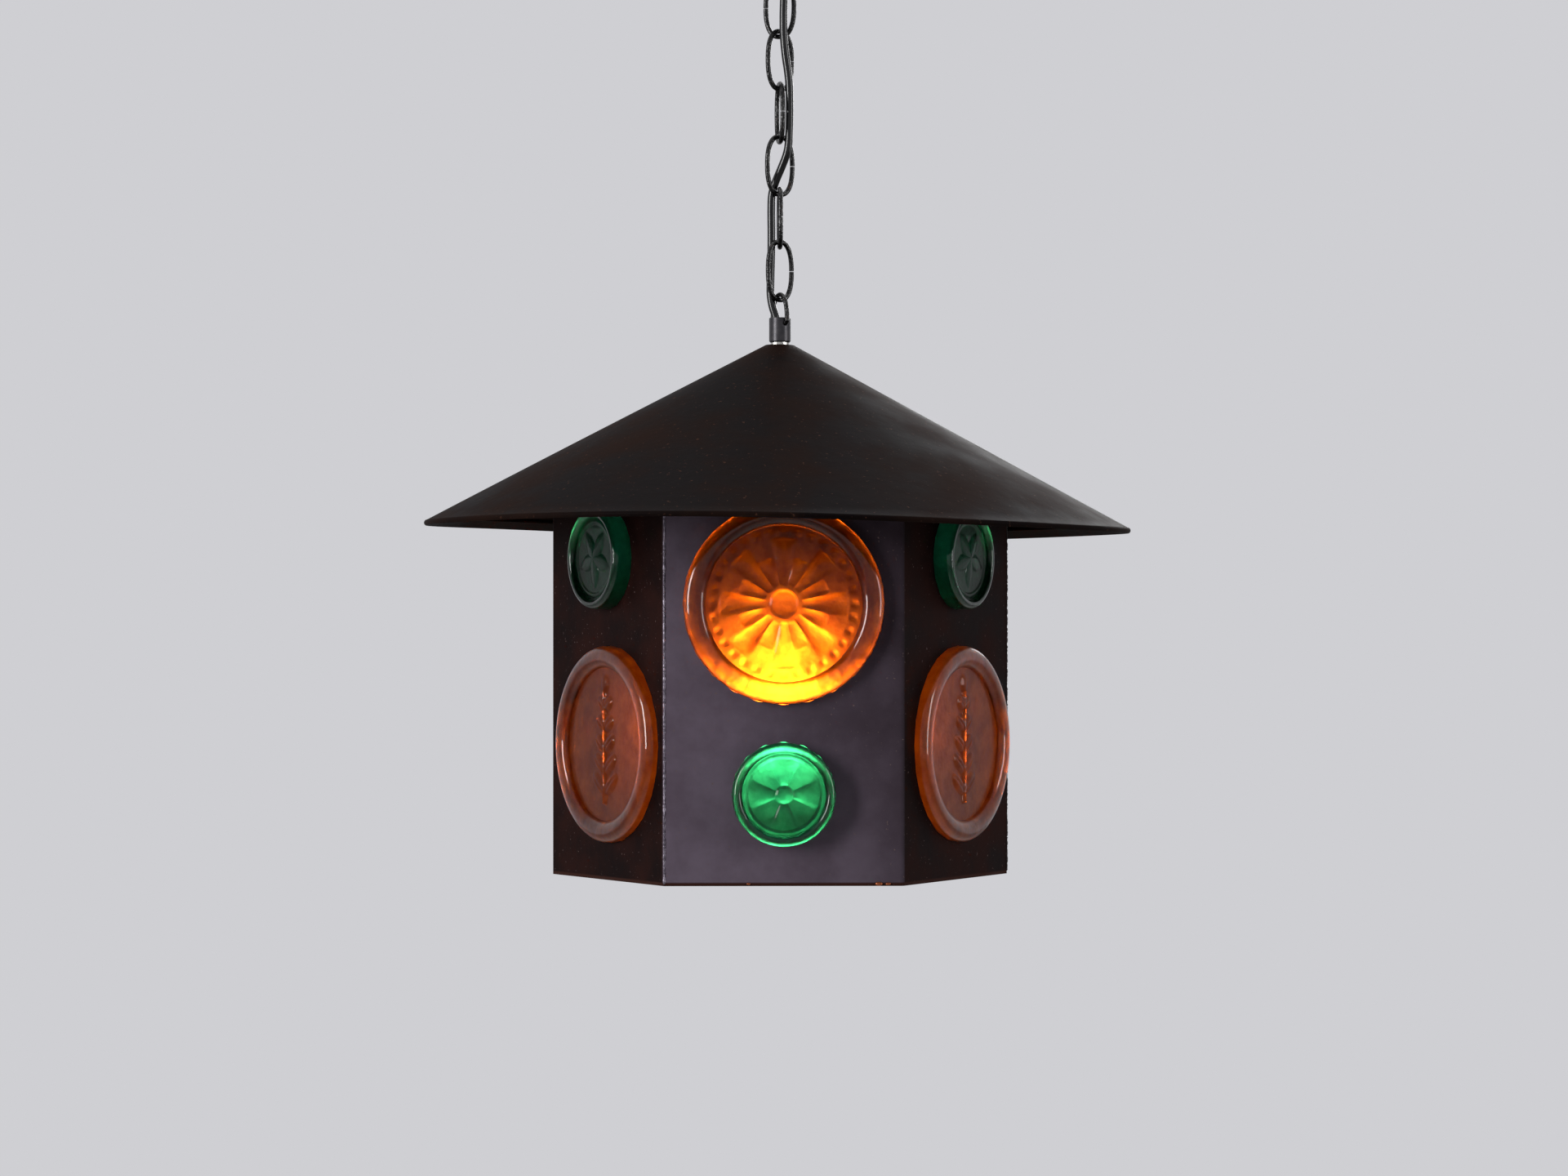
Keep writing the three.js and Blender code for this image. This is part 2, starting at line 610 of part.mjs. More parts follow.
// One wall sheet: two faces with a fold between them, four holes, clips and a turned-in bottom lip
function wallSheetPiece(sheet) {
  const inner = sideLength - wallSheet / Math.cos(Math.PI / 6);
  const halfSeam = seatGap / 2 / Math.cos(Math.PI / 6);
  const corner = (radius, angle) => new THREE.Vector2(
    radius * Math.cos(radians(angle)), radius * Math.sin(radians(angle)));
  const start = corner(sideLength, -120).add(new THREE.Vector2(halfSeam, 0));
  const startInner = corner(inner, -120).add(new THREE.Vector2(halfSeam, 0));
  const back = corner(-halfSeam, 60);
  const end = corner(sideLength, 0).add(back);
  const endInner = corner(inner, 0).add(back);
  const bendCentre = corner(sideLength - wallBend / Math.cos(Math.PI / 6), -60);
  const bend = (radius, from, to) => arc([bendCentre.x, bendCentre.y], radius, from, to, 4)
    .map(([x, y]) => new THREE.Vector2(x, y));
  const outside = [start, ...bend(wallBend, -90, -30), end, endInner];
  const insideBend = bend(wallBend - wallSheet, -30, -90);
  const wall = plate(new THREE.Shape([...outside, ...insideBend, startInner]), wallHeight - wallSheet / 2);

  // The bottom edge: the same outline with a lip along each face, notched where the sheet folds and ends
  const lip = (face) => {
    const root = innerApothem * Math.tan(Math.PI / 6) - lipNotch;
    const tip = root - lipWidth * Math.tan(Math.PI / 6);
    const depths = [-innerApothem, -innerApothem + lipWidth, -innerApothem + lipWidth, -innerApothem];
    return [root, tip, -tip, -root].map((along, i) =>
      new THREE.Vector2(along, depths[i]).rotateAround(new THREE.Vector2(), radians(60 * face)));
  };
  const lipped = new THREE.Shape([...outside, ...lip(1), ...insideBend, ...lip(0), startInner]);
  let body = solid(wall.translate(0, 0, wallBottom + wallSheet / 2));
  body = body.add(solid(plate(lipped, wallSheet).translate(0, 0, wallBottom)));
  for (const face of [0, 1]) {
    for (const kind of Object.values(discKinds)) {
      const placement = discPlace(kind, face);
      const hole = rod(kind.radius, wallSheet * 3, kind.facets).translate(0, 0, -wallSheet * 2);
      body = body.subtract(solid(hole.applyMatrix4(placement)));
      for (const angle of clipAngles) {
        body = body.add(solid(clip(kind, angle).applyMatrix4(placement)));
      }
    }
  }
  // The strap's rivet passes through the front face of the first sheet and the back face of the second
  const rivetHole = rod(rivetDiameter / 2 + holeGap, wallSheet * 6, 12)
    .translate(0, 0, -wallSheet * 3)
    .applyMatrix4(onFace(0, 0, wallHeight - strapDrop - rivetDrop));
  const rivetFaces = [0, 3].map((face) => face - 2 * sheet);
  for (const face of rivetFaces) {
    if (face !== 0 && face !== 1) continue;
    body = body.subtract(solid(rivetHole.clone().rotateZ(radians(60 * face))));
  }
  const mesh = place(`wall_sheet_${sheet + 1}`, fromSolid(body), patina());
  mesh.rotation.z = radians(120 * sheet);
}

// Solder run up the inside of a corner where two sheets meet
function seamSolder(sheet) {
  const reach = sideLength - (wallSheet + seatGap) / Math.cos(Math.PI / 6);
  const alongWall = [solderWidth * Math.cos(Math.PI / 3), solderWidth * Math.sin(Math.PI / 3)];
  const section = outline([
    [reach, 0], [reach - alongWall[0], alongWall[1]],
    [reach - alongWall[0] - solderThick, 0], [reach - alongWall[0], -alongWall[1]],
  ]);
  const bottom = wallBottom + wallSheet + seatGap;
  const run = plate(section, wallTop - solderStop - bottom);
  const solder = place(`seam_solder_${sheet + 1}`, run, paint(0x6f6a66, 0.5, 0.8));
  solder.position.z = bottom;
  solder.rotation.z = radians(-120 + 120 * sheet);
}

// Bridge strap: a flat bar across the body, its ends turned down and riveted to front and back
function bridgeStrap() {
  const reach = innerApothem - seatGap;
  const innerBend = strapBend + strapThick / 2;
  const half = [
    [reach - strapBend, strapTop], [reach, strapTop - strapBend], [reach, strapTop - strapTab],
    [reach - strapThick, strapTop - strapTab], [reach - strapThick, strapTop - innerBend],
    [reach - innerBend, strapTop - strapThick],
  ];
  const bar = plate(outline([...half, ...mirrored(half)]), strapWidth)
    .translate(0, 0, -strapWidth / 2)
    .rotateX(Math.PI / 2)
    .rotateZ(Math.PI / 2);
  const tubeHole = rod(tubeDiameter / 2 + holeGap, strapThick * 3, 24)
    .translate(0, 0, strapTop - strapThick * 2);
  const rivetHoles = rod(rivetDiameter / 2 + holeGap, apothem * 2, 12)
    .translate(0, 0, -apothem)
    .rotateX(Math.PI / 2)
    .translate(0, 0, strapTop - rivetDrop);
  place('bridge_strap', cut(bar, [tubeHole, rivetHoles]), blackenedSteel());

  // Each rivet: a domed head outside the wall, a shank, and a smaller closed head inside the strap
  const shank = rivetDiameter / 2;
  const inside = -wallSheet - seatGap - strapThick - seatGap;
  const rivetProfile = [
    [0, inside - rivetTailThick], [rivetTail / 2 - rivetTailThick / 2, inside - rivetTailThick],
    [rivetTail / 2, inside], [shank, inside], [shank, seatGap],
    ...arc([0, seatGap], rivetHead / 2, 0, rivetDome, 2, rivetHeadThick / (rivetHead / 2)),
    [0, seatGap + rivetHeadThick],
  ];
  for (const [name, face] of [['strap_rivet_front', 0], ['strap_rivet_back', 3]]) {
    const rivet = place(name, turned(rivetProfile, 10), blackenedSteel());
    rivet.applyMatrix4(onFace(face, 0, wallHeight - strapDrop - rivetDrop));
  }
}

// Lampholder: cap with a threaded neck, insulating insert, contact tongue, threaded shell and lower ring
function lampholder() {
  const bore = tubeDiameter / 2 + holeGap;
  const cordHole = cordDiameter / 2 + holeGap;
  const neck = neckDiameter / 2;
  const cap = capDiameter / 2;
  const shelf = holderTop - neckHeight;
  const capBottom = holderTop - capHeight;
  const shoulder = (inset, from, to) => arc([neck, shelf - capShoulder], cap - neck - inset, from, to, 3,
    (capShoulder - inset) / (cap - neck - inset));
  const capProfile = [
    [cap - capWall, capBottom], [cap, capBottom], ...shoulder(0, 0, 90),
    [neck, holderTop], [bore, holderTop], [bore, shelf],
    [cordHole, shelf], [cordHole, shelf - capWall], ...shoulder(capWall, 90, 0),
  ];
  place('holder_cap', turnedRing(capProfile, 18), bakelite());

  const insertRadius = insertDiameter / 2;
  const insertProfile = [
    [0, insertBottom], [insertRadius - insertBevel, insertBottom], [insertRadius, insertBottom + insertBevel],
    [insertRadius, insertTop - insertBevel], [insertRadius - insertBevel, insertTop], [0, insertTop],
  ];
  place('holder_insert', turned(insertProfile, 18), porcelain());

  const shellTop = insertBottom - seatGap;
  const shellInner = shellBore / 2;
  const shellOuter = shellInner + shellSheet;
  const shellProfile = [
    [shellInner, shellTop - shellHeight], [shellOuter, shellTop - shellHeight], [shellOuter, shellTop],
    [shellInner - shellFlange, shellTop], [shellInner - shellFlange, shellTop - shellSheet],
    [shellInner, shellTop - shellSheet],
  ];
  place('holder_shell', turnedRing(shellProfile, 16), brass());

  // Centre contact: a strip bent back under itself
  const tip = contactLength / 2;
  const knee = tip * 0.6;
  const drop = contactDrop - seatGap;
  const tongue = outline([
    [-tip, 0], [knee, 0], [tip, -drop / 2], [knee, -drop], [-knee, -drop],
    [-knee, contactSheet - drop], [knee, contactSheet - drop], [tip - contactSheet, -drop / 2],
    [knee, -contactSheet], [-tip, -contactSheet],
  ]);
  const strip = plate(tongue, contactWidth).translate(0, 0, -contactWidth / 2).rotateX(Math.PI / 2);
  place('centre_contact', strip, brass()).position.z = insertBottom - seatGap;

  const ringOuter = cap + ringStep;
  const ringInner = ringBore / 2;
  const ringTop = capBottom - seatGap;
  const ringBottom = ringTop - ringHeight;
  const ringProfile = [
    [ringInner, ringBottom],
    ...arc([ringOuter - ringRound, ringBottom + ringRound], ringRound, -90, 0, 2),
    [ringOuter, ringTop], [ringInner, ringTop],
  ];
  place('holder_ring', turnedRing(ringProfile, 18), bakelite());
}

// Bulb: screw cap with its contact button, and a pear-shaped frosted envelope
function bulb() {
  const capRadius = bulbCap / 2;
  const capBottom = bulbTop - bulbCapHeight;
  const button = bulbButton / 2;
  const capProfile = [
    [0, capBottom], [capRadius, capBottom], [capRadius, bulbTop - bulbCapTaper],
    [button, bulbTop - seatGap], [button, bulbTop], [0, bulbTop],
  ];
  place('bulb_cap', turned(capProfile, 16), brightSteel());

  const glassTop = capBottom - seatGap;
  const globe = bulbDiameter / 2;
  const centre = bulbTop - bulbLength + globe;
  const sphere = arc([0, centre], globe, -90, bulbShoulder, 8);
  sphere[0][0] = 0;
  const [shoulderRadius, shoulderTop] = sphere[sphere.length - 1];
  const neckRadius = capRadius - bulbNeckStep;
  const neck = [0.75, 0.5, 0.25, 0].map((part) =>
    [neckRadius + (shoulderRadius - neckRadius) * part ** 2, glassTop + (shoulderTop - glassTop) * part]);
  place('bulb_glass', turned([...sphere, ...neck, [0, glassTop]], 16), paint(0xfff1d6, 0.4, 0));
}

function flexCord() {
  const points = cordPoints.map(([x, y, z]) => new THREE.Vector3(x, y, z));
  place('flex_cord', wire(points, cordDiameter, cordSteps), paint(0x0b0b0c, 0.35, 0));
}

ceilingFitting();
for (let number = 0; number < linkCount; number += 1) chainLink(number);
suspensionBail();
centreTube();
conicalRoof();
for (let sheet = 0; sheet < 3; sheet += 1) {
  wallSheetPiece(sheet);
  seamSolder(sheet);
}
glassDiscs();
bridgeStrap();
lampholder();
bulb();
flexCord();

export default lantern;
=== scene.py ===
"""Looks of the hanging lantern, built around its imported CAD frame. Metres, +Z up, front at -Y."""
import math

import bmesh
import bpy
import numpy as np
from mathutils import Matrix, Vector


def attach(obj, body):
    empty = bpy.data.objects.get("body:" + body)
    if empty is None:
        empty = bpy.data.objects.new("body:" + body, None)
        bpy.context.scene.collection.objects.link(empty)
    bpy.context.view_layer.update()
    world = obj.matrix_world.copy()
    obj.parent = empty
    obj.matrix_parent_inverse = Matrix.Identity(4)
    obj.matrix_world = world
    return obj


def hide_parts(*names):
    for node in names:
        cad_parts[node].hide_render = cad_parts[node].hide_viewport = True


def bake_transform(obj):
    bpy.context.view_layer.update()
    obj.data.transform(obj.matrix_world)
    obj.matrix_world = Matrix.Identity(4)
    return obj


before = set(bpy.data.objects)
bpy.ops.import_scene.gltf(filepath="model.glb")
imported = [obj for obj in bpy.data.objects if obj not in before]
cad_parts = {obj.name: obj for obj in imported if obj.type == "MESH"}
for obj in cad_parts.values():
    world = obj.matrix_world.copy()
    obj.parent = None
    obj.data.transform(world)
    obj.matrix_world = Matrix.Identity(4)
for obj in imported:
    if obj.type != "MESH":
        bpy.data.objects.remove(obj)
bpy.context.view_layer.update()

# Camera: level, about as high as the front's large disc, and 2.5 m in front of the lantern. Its place
# and focal length come from how much larger the near faces look than the far ones.
photo_width = 1920  # pixels
axis_left_of_centre = 5  # pixels
horizon_below_centre = 58  # pixels
camera_turn = -1.06  # degrees, towards the lantern's axis
camera_data = bpy.data.cameras.new("camera")
camera_data.sensor_width = 36  # mm
camera_data.lens = 90.8  # mm
camera_data.shift_x = axis_left_of_centre / photo_width
camera_data.shift_y = horizon_below_centre / photo_width
camera = bpy.data.objects.new("camera", camera_data)
camera.location = (-0.046, -2.488, -0.481)
camera.rotation_euler = (math.radians(90), 0, math.radians(camera_turn))
bpy.context.collection.objects.link(camera)
bpy.context.scene.camera = camera

# Flex: round two-core flex with a sheath of glossy black PVC, 5 mm thick. It comes out of the bush in
# the cup, hangs beside the chain, crosses through its fourth link and goes down the centre tube.
mm = 0.001  # in metres
cord_thick = 5 * mm
cord_route = [
    (0.0025, -0.02, -0.0146), (0.0025, -0.019, -0.022), (0.0025, -0.0156, -0.032),
    (0.0025, -0.0143, -0.04), (0.0025, -0.0143, -0.048), (0.0028, -0.013, -0.058),
    (0.0029, -0.0098, -0.069), (0.0024, -0.0074, -0.081), (0.0021, -0.0066, -0.093),
    (0.0023, -0.0065, -0.105), (0.0034, -0.0065, -0.117), (0.0047, -0.0065, -0.126),
    (0.0057, -0.0062, -0.135), (0.006, -0.0058, -0.147), (0.0059, -0.0053, -0.158),
    (0.0057, -0.0047, -0.166), (0.0054, -0.004, -0.172), (0.004, -0.0029, -0.179),
    (0.0009, -0.0007, -0.187), (-0.0025, 0.0014, -0.195), (-0.0049, 0.0026, -0.203),
    (-0.0054, 0.0025, -0.213), (-0.0053, 0.0023, -0.227), (-0.0054, 0.0019, -0.241),
    (-0.0058, 0.0014, -0.255), (-0.0059, 0.0011, -0.266), (-0.0047, 0.0008, -0.274),
    (-0.0024, 0.0004, -0.2815), (-0.0008, 0.0001, -0.289), (0, 0, -0.298), (0, 0, -0.33),
    (0, 0, -0.38), (0, 0, -0.4446),
]
# The flex is cut into stretches, one for each place where the chain's pieces hinge. Each stretch has the
# bodies above and below its bend, the hinge's height, and the height where the stretch ends, beside the
# middle of the next piece.
cord_bends = [
    ("ceiling", "link_1", -0.07225, -0.084), ("link_1", "link_2", -0.1044, -0.117),
    ("link_2", "link_3", -0.1375, -0.1495), ("link_3", "link_4", -0.1706, -0.182),
    ("link_4", "link_5", -0.2037, -0.214), ("link_5", "link_6", -0.2368, -0.246),
    ("link_6", "bail", -0.2699, -0.2774), ("bail", "lantern", -0.2849, -0.31),
]


def smooth_path(points, steps=12):
    """Points along a smooth curve through the given ones, steps of them between two."""
    knots = np.array(points, float)
    knots = np.vstack([2 * knots[0] - knots[1], knots, 2 * knots[-1] - knots[-2]])
    path = [knots[1]]
    for i in range(1, len(knots) - 2):
        before, start, end, after = knots[i - 1 : i + 3]
        for t in np.linspace(0, 1, steps + 1)[1:]:
            path.append(
                start
                + 0.5 * t * (end - before)
                + 0.5 * t**2 * (2 * before - 5 * start + 4 * end - after)
                + 0.5 * t**3 * (3 * start - before - 3 * end + after)
            )
    return np.array(path)


def linear(hex_colour):
    """An sRGB hex colour as linear red, green, blue and alpha."""
    parts = [int(hex_colour[i : i + 2], 16) / 255 for i in (1, 3, 5)]
    return tuple(p / 12.92 if p <= 0.04045 else ((p + 0.055) / 1.055) ** 2.4 for p in parts) + (1,)


def set_inputs(tree, node, inputs):
    """Gives a node's inputs values, sRGB hex colours, or links from other nodes' outputs."""
    for name, value in inputs.items():
        if isinstance(value, bpy.types.NodeSocket):
            tree.links.new(value, node.inputs[name])
        else:
            node.inputs[name].default_value = linear(value) if isinstance(value, str) else value


def add_node(tree, kind, inputs=None, **settings):
    """Adds a node with its settings and inputs, and returns its outputs."""
    made = tree.nodes.new(kind)
    for name, value in settings.items():
        setattr(made, name, value)
    set_inputs(tree, made, inputs or {})
    return made.outputs


def start_material(name, **constants):
    """A new material, its tree, its shader with the given constants set, and the piece's own coordinates."""
    material = bpy.data.materials.new(name)
    material.use_nodes = True
    tree = material.node_tree
    shader = tree.nodes["Principled BSDF"]
    set_inputs(tree, shader, {socket.replace("_", " "): value for socket, value in constants.items()})
    return material, tree, shader, add_node(tree, "ShaderNodeTexCoord")["Object"]


def mottle(tree, place, size, low, high, detail=4):
    """Soft spots about as large as size, in metres, as a share from 0 to 1 between two noise levels."""
    noise = add_node(tree, "ShaderNodeTexNoise", {
        "Vector": place, "Scale": 1 / size, "Detail": detail, "Roughness": 0.6,
    })
    return add_node(tree, "ShaderNodeMapRange", {
        "Value": noise["Fac"], "From Min": low, "From Max": high,
    }, interpolation_type="SMOOTHSTEP")["Result"]


def clouded_material(name, first, second, size, low, high, **constants):
    """A material of one finish whose colour goes from the first to the second in soft spots."""
    material, tree, shader, place = start_material(name, **constants)
    spots = mottle(tree, place, size, low, high)
    # Here as below, the two colours of a Mix node are its inputs 6 and 7, and the mixed one is its output 2
    colour = add_node(tree, "ShaderNodeMix", {0: spots, 6: first, 7: second}, data_type="RGBA")[2]
    set_inputs(tree, shader, {"Base Color": colour})
    return material


def tree_with_inputs(name, inputs):
    """A new Geometry Nodes tree with named inputs after its geometry, and its input node's sockets."""
    tree = bpy.data.node_groups.new(name, "GeometryNodeTree")
    tree.interface.new_socket("Geometry", in_out="INPUT", socket_type="NodeSocketGeometry")
    for socket_name, kind in inputs.items():
        tree.interface.new_socket(socket_name, in_out="INPUT", socket_type=f"NodeSocket{kind}")
    tree.interface.new_socket("Geometry", in_out="OUTPUT", socket_type="NodeSocketGeometry")
    return tree, add_node(tree, "NodeGroupInput")


def finish_tree(tree, geometry, material):
    """Every tree ends alike: real geometry instead of instances, then the piece's material."""
    real = add_node(tree, "GeometryNodeRealizeInstances", {"Geometry": geometry})["Geometry"]
    painted = add_node(tree, "GeometryNodeSetMaterial", {"Geometry": real, "Material": material})["Geometry"]
    add_node(tree, "NodeGroupOutput", {"Geometry": painted})


def finish_mesh(name, mesh, sharp_angle=40):
    """A plain mesh object with outward faces, smooth but for its sharp edges."""
    body = bmesh.new()
    body.from_mesh(mesh)
    bmesh.ops.remove_doubles(body, verts=body.verts, dist=1e-6)
    bmesh.ops.recalc_face_normals(body, faces=body.faces)
    body.to_mesh(mesh)
    body.free()
    mesh.shade_smooth()
    mesh.set_sharp_from_angle(angle=math.radians(sharp_angle))
    piece = bpy.data.objects.new(name, mesh)
    bpy.context.collection.objects.link(piece)
    return piece


def grown(name, base, tree, inputs, sharp_angle=40):
    """What a tree makes of a base object, as a plain mesh. The base goes."""
    modifier = base.modifiers.new(tree.name, "NODES")
    modifier.node_group = tree
    for item in tree.interface.items_tree:
        if item.in_out == "INPUT" and item.name in inputs:
            modifier[item.identifier] = inputs[item.name]
    base.update_tag()
    evaluated = base.evaluated_get(bpy.context.evaluated_depsgraph_get())
    mesh = bpy.data.meshes.new_from_object(evaluated)
    bpy.data.objects.remove(base)
    return finish_mesh(name, mesh, sharp_angle)


def line_through(path):
    """A line through points, for a tree to grow a piece on."""
    curve = bpy.data.curves.new("path", "CURVE")
    curve.dimensions = "3D"
    line = curve.splines.new("POLY")
    line.points.add(len(path) - 1)
    line.points.foreach_set("co", np.column_stack([path, np.ones(len(path))]).ravel())
    base = bpy.data.objects.new("path", curve)
    bpy.context.collection.objects.link(base)
    return base


stock_tree, stock_in = tree_with_inputs("round_stock_along_a_path", {
    "Thickness": "Float", "Sides": "Int", "Material": "Material",
})
stock_radius = add_node(stock_tree, "ShaderNodeMath", {
    0: stock_in["Thickness"], 1: 0.5,
}, operation="MULTIPLY")[0]
stock_section = add_node(stock_tree, "GeometryNodeCurvePrimitiveCircle", {
    "Resolution": stock_in["Sides"], "Radius": stock_radius,
})["Curve"]
stock_body = add_node(stock_tree, "GeometryNodeCurveToMesh", {
    "Curve": stock_in["Geometry"], "Profile Curve": stock_section, "Fill Caps": True,
})["Mesh"]
finish_tree(stock_tree, stock_body, stock_in["Material"])


def round_stock(name, path, thick, material, sides=24):
    """Wire, rod or flex of round section along a path, with flat ends."""
    return grown(name, line_through(path), stock_tree, {
        "Thickness": thick, "Sides": sides, "Material": material,
    })


# PVC sheath: extruded, so almost smooth, with one long highlight and a little dust that dulls it
pvc = clouded_material(
    "black_pvc", "#050506", "#121212", size=9 * mm, low=0.45, high=0.75,
    Roughness=0.2, IOR=1.5, Specular_IOR_Level=0.4)


whole_route = smooth_path(cord_route)
cuts = [0] + [int(np.argmin(abs(whole_route[:, 2] - end))) for _, _, _, end in cord_bends]
for number, (upper, lower, hinge, _) in enumerate(cord_bends, 1):
    path = whole_route[cuts[number - 1] : cuts[number] + 1]
    flex = round_stock(f"flex_stretch_{number}", path, cord_thick, pvc, sides=20)
    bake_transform(flex)
    if number == 1:
        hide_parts("flex_cord")
path = whole_route[cuts[-1] :]
flex = round_stock("flex_in_tube", path, cord_thick, pvc, sides=20)
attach(flex, "lantern")

# Ceiling fitting: a steel plate screwed to the ceiling and a spun steel cup, both blackened and oiled,
# held together by the hook's nut. A rubber bush lines the flex's hole, and the leads meet in a porcelain
# block.
cup_radius = 48 * mm
cup_top = -1 * mm
cup_bottom = -44 * mm
cup_flat = 22 * mm  # radius of the flat bottom
cup_corner = 21 * mm  # height of the rounded corner
cup_sheet = 1 * mm
hook_hole = 2.8 * mm  # radius


def turned(name, profile, material, segments=96, sharp_angle=40):
    """A shape turned about Z. The profile's radius and height points are listed round a closed section."""
    mesh = bpy.data.meshes.new(name)
    count = len(profile)
    corners = [(r * math.cos(a), r * math.sin(a), h)
               for a in np.linspace(0, 2 * math.pi, segments, endpoint=False) for r, h in profile]
    faces = [
        (s * count + p, s * count + (p + 1) % count,
         (s + 1) % segments * count + (p + 1) % count, (s + 1) % segments * count + p)
        for s in range(segments) for p in range(count)
    ]
    mesh.from_pydata(corners, [], faces)
    mesh.materials.append(material)
    return finish_mesh(name, mesh, sharp_angle)


def arc(centre, width, height, first, last, steps=12):
    """Points on part of an ellipse about a centre, from one angle to another in degrees."""
    return [(centre[0] + width * math.cos(math.radians(a)), centre[1] + height * math.sin(math.radians(a)))
            for a in np.linspace(first, last, steps + 1)]


def raise_surface(tree, shader, place, size, depth, strength, detail):
    """Fine relief on a material: lumps about as large as size and as high as depth, in metres."""
    lumps = add_node(tree, "ShaderNodeTexNoise", {"Vector": place, "Scale": 1 / size, "Detail": detail})
    normal = add_node(tree, "ShaderNodeBump", {
        "Height": lumps["Fac"], "Distance": depth, "Strength": strength,
    })["Normal"]
    set_inputs(tree, shader, {"Normal": normal})


def blackened_steel(name, spot_size, lump_size, lump_depth, lump_strength):
    """Blackened steel: heated, oiled and lacquered, so dark with a soft sheen, and brown where it rubs."""
    steel, tree, shader, place = start_material(name, Specular_IOR_Level=0.35)
    worn = mottle(tree, place, spot_size, low=0.6, high=0.72)
    colour = add_node(tree, "ShaderNodeMix", {0: worn, 6: "#060505", 7: "#2c1910"}, data_type="RGBA")[2]
    rough = add_node(tree, "ShaderNodeMapRange", {"Value": worn, "To Min": 0.26, "To Max": 0.6})["Result"]
    set_inputs(tree, shader, {"Base Color": colour, "Roughness": rough})
    raise_surface(tree, shader, place, lump_size, lump_depth, lump_strength, detail=2)
    return steel


# Spun and pressed sheet is nearly smooth, with faint brown clouds. Wire and rod, hammered round, are lumpy,
# and the hammer marks are drawn coarser and deeper than real ones so that they show
sheet_steel = blackened_steel(
    "blackened_steel_sheet", spot_size=12 * mm, lump_size=6 * mm, lump_depth=0.3 * mm, lump_strength=0.4)
wire_steel = blackened_steel(
    "blackened_steel_wire", spot_size=4 * mm, lump_size=2.2 * mm, lump_depth=0.7 * mm, lump_strength=0.9)

corner_at = (cup_flat, cup_bottom + cup_corner)
corner_width = cup_radius - cup_flat
cup_profile = [(hook_hole, cup_bottom)]
cup_profile += arc(corner_at, corner_width, cup_corner, -90, 0)
cup_profile += [(cup_radius, cup_top), (cup_radius - cup_sheet, cup_top)]
cup_profile += arc(corner_at, corner_width - cup_sheet, cup_corner - cup_sheet, 0, -90)
cup_profile += [(hook_hole, cup_bottom + cup_sheet)]
cup = turned("spun_cup", cup_profile, sheet_steel)
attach(cup, "ceiling")
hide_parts("canopy")

# Rubber: moulded, dull and a little dusty. Porcelain: white body under a shiny glaze, faintly clouded
rubber = clouded_material(
    "moulded_rubber", "#0c0c0c", "#1a1918", size=3 * mm, low=0.4, high=0.7, Roughness=0.75)
porcelain = clouded_material(
    "glazed_porcelain", "#e3dfd3", "#d2ccbc", size=7 * mm, low=0.4, high=0.75, Roughness=0.18, IOR=1.5)


def dress(names, material):
    """Gives CAD nodes their material."""
    for name in names:
        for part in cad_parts[name].material_slots:
            part.material = material


dress(["ceiling_plate", "canopy_nut"], sheet_steel)
dress(["cord_bush"], rubber)
dress(["terminal_block"], porcelain)

# Hook, chain and bail: round steel rod and wire bent cold, each link an oval whose ends meet in an open
# butt joint. Chain and bail were blackened and lacquered, and the lacquer has worn off in places.
hook_rod = 5 * mm
hook_bowl = 8 * mm  # radius of the hook's bend, to the rod's middle
hook_seat = -72.25 * mm  # the bend's lowest point
hook_azimuth = 68  # degrees
hook_tip = 4 * mm  # straight end after the bend
shank_top = -3.3 * mm
shank_end = -50.6 * mm
link_wire = 3.1 * mm
link_half_width = (22 * mm - link_wire) / 2
link_half_span = (39.6 * mm - link_wire) / 2
link_pitch = 33.1 * mm
first_link_top = -67.9 * mm  # centre of the top link's upper wire
link_squareness = 2.4
link_split = 0.22 * mm  # gap of the open joint
link_knots = 49  # points that shape one link
link_azimuths = [-22, 37, 100, 33, 92, 38]  # degrees, from the top down
bail_wire = 2.9 * mm
bail_top = -266.6 * mm
cross_hole = -284.9 * mm  # height of the sleeve's cross hole
bail_azimuth = -60  # degrees
bail_leg = 8.75 * mm  # from the axis
bail_elbow = 2.25 * mm  # radius
bail_end = 4.6 * mm  # how near the axis the turned-in ends come
bail_squareness = 2.2


def upright(points, azimuth):
    """Points (width, height) in the upright plane whose width runs at an azimuth in degrees."""
    turn = math.radians(azimuth)
    return [(w * math.cos(turn), w * math.sin(turn), h) for w, h in points]


def squared_oval(half_width, half_height, squareness, degrees):
    """A point on an oval that is squared off a little."""
    c, s = math.cos(math.radians(degrees)), math.sin(math.radians(degrees))
    return (half_width * math.copysign(abs(c) ** (2 / squareness), c),
            half_height * math.copysign(abs(s) ** (2 / squareness), s))


# The shank eases over from the axis to the bend's left side
bowl_centre = hook_seat + hook_bowl
hook_shape = [(0, shank_top), (0, shank_top / 2 + shank_end / 2), (0, shank_end)]
for share in (1 / 3, 2 / 3):
    sweep = hook_bowl * (math.cos(math.pi * share) - 1) / 2
    hook_shape.append((sweep, shank_end + (bowl_centre - shank_end) * share))
hook_shape += arc((0, bowl_centre), hook_bowl, hook_bowl, 185, 360, steps=10)
hook_shape.append((hook_bowl, bowl_centre + hook_tip))
hook = round_stock("bent_hook", smooth_path(upright(hook_shape, hook_azimuth)), hook_rod, wire_steel)
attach(hook, "ceiling")
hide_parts("ceiling_hook")

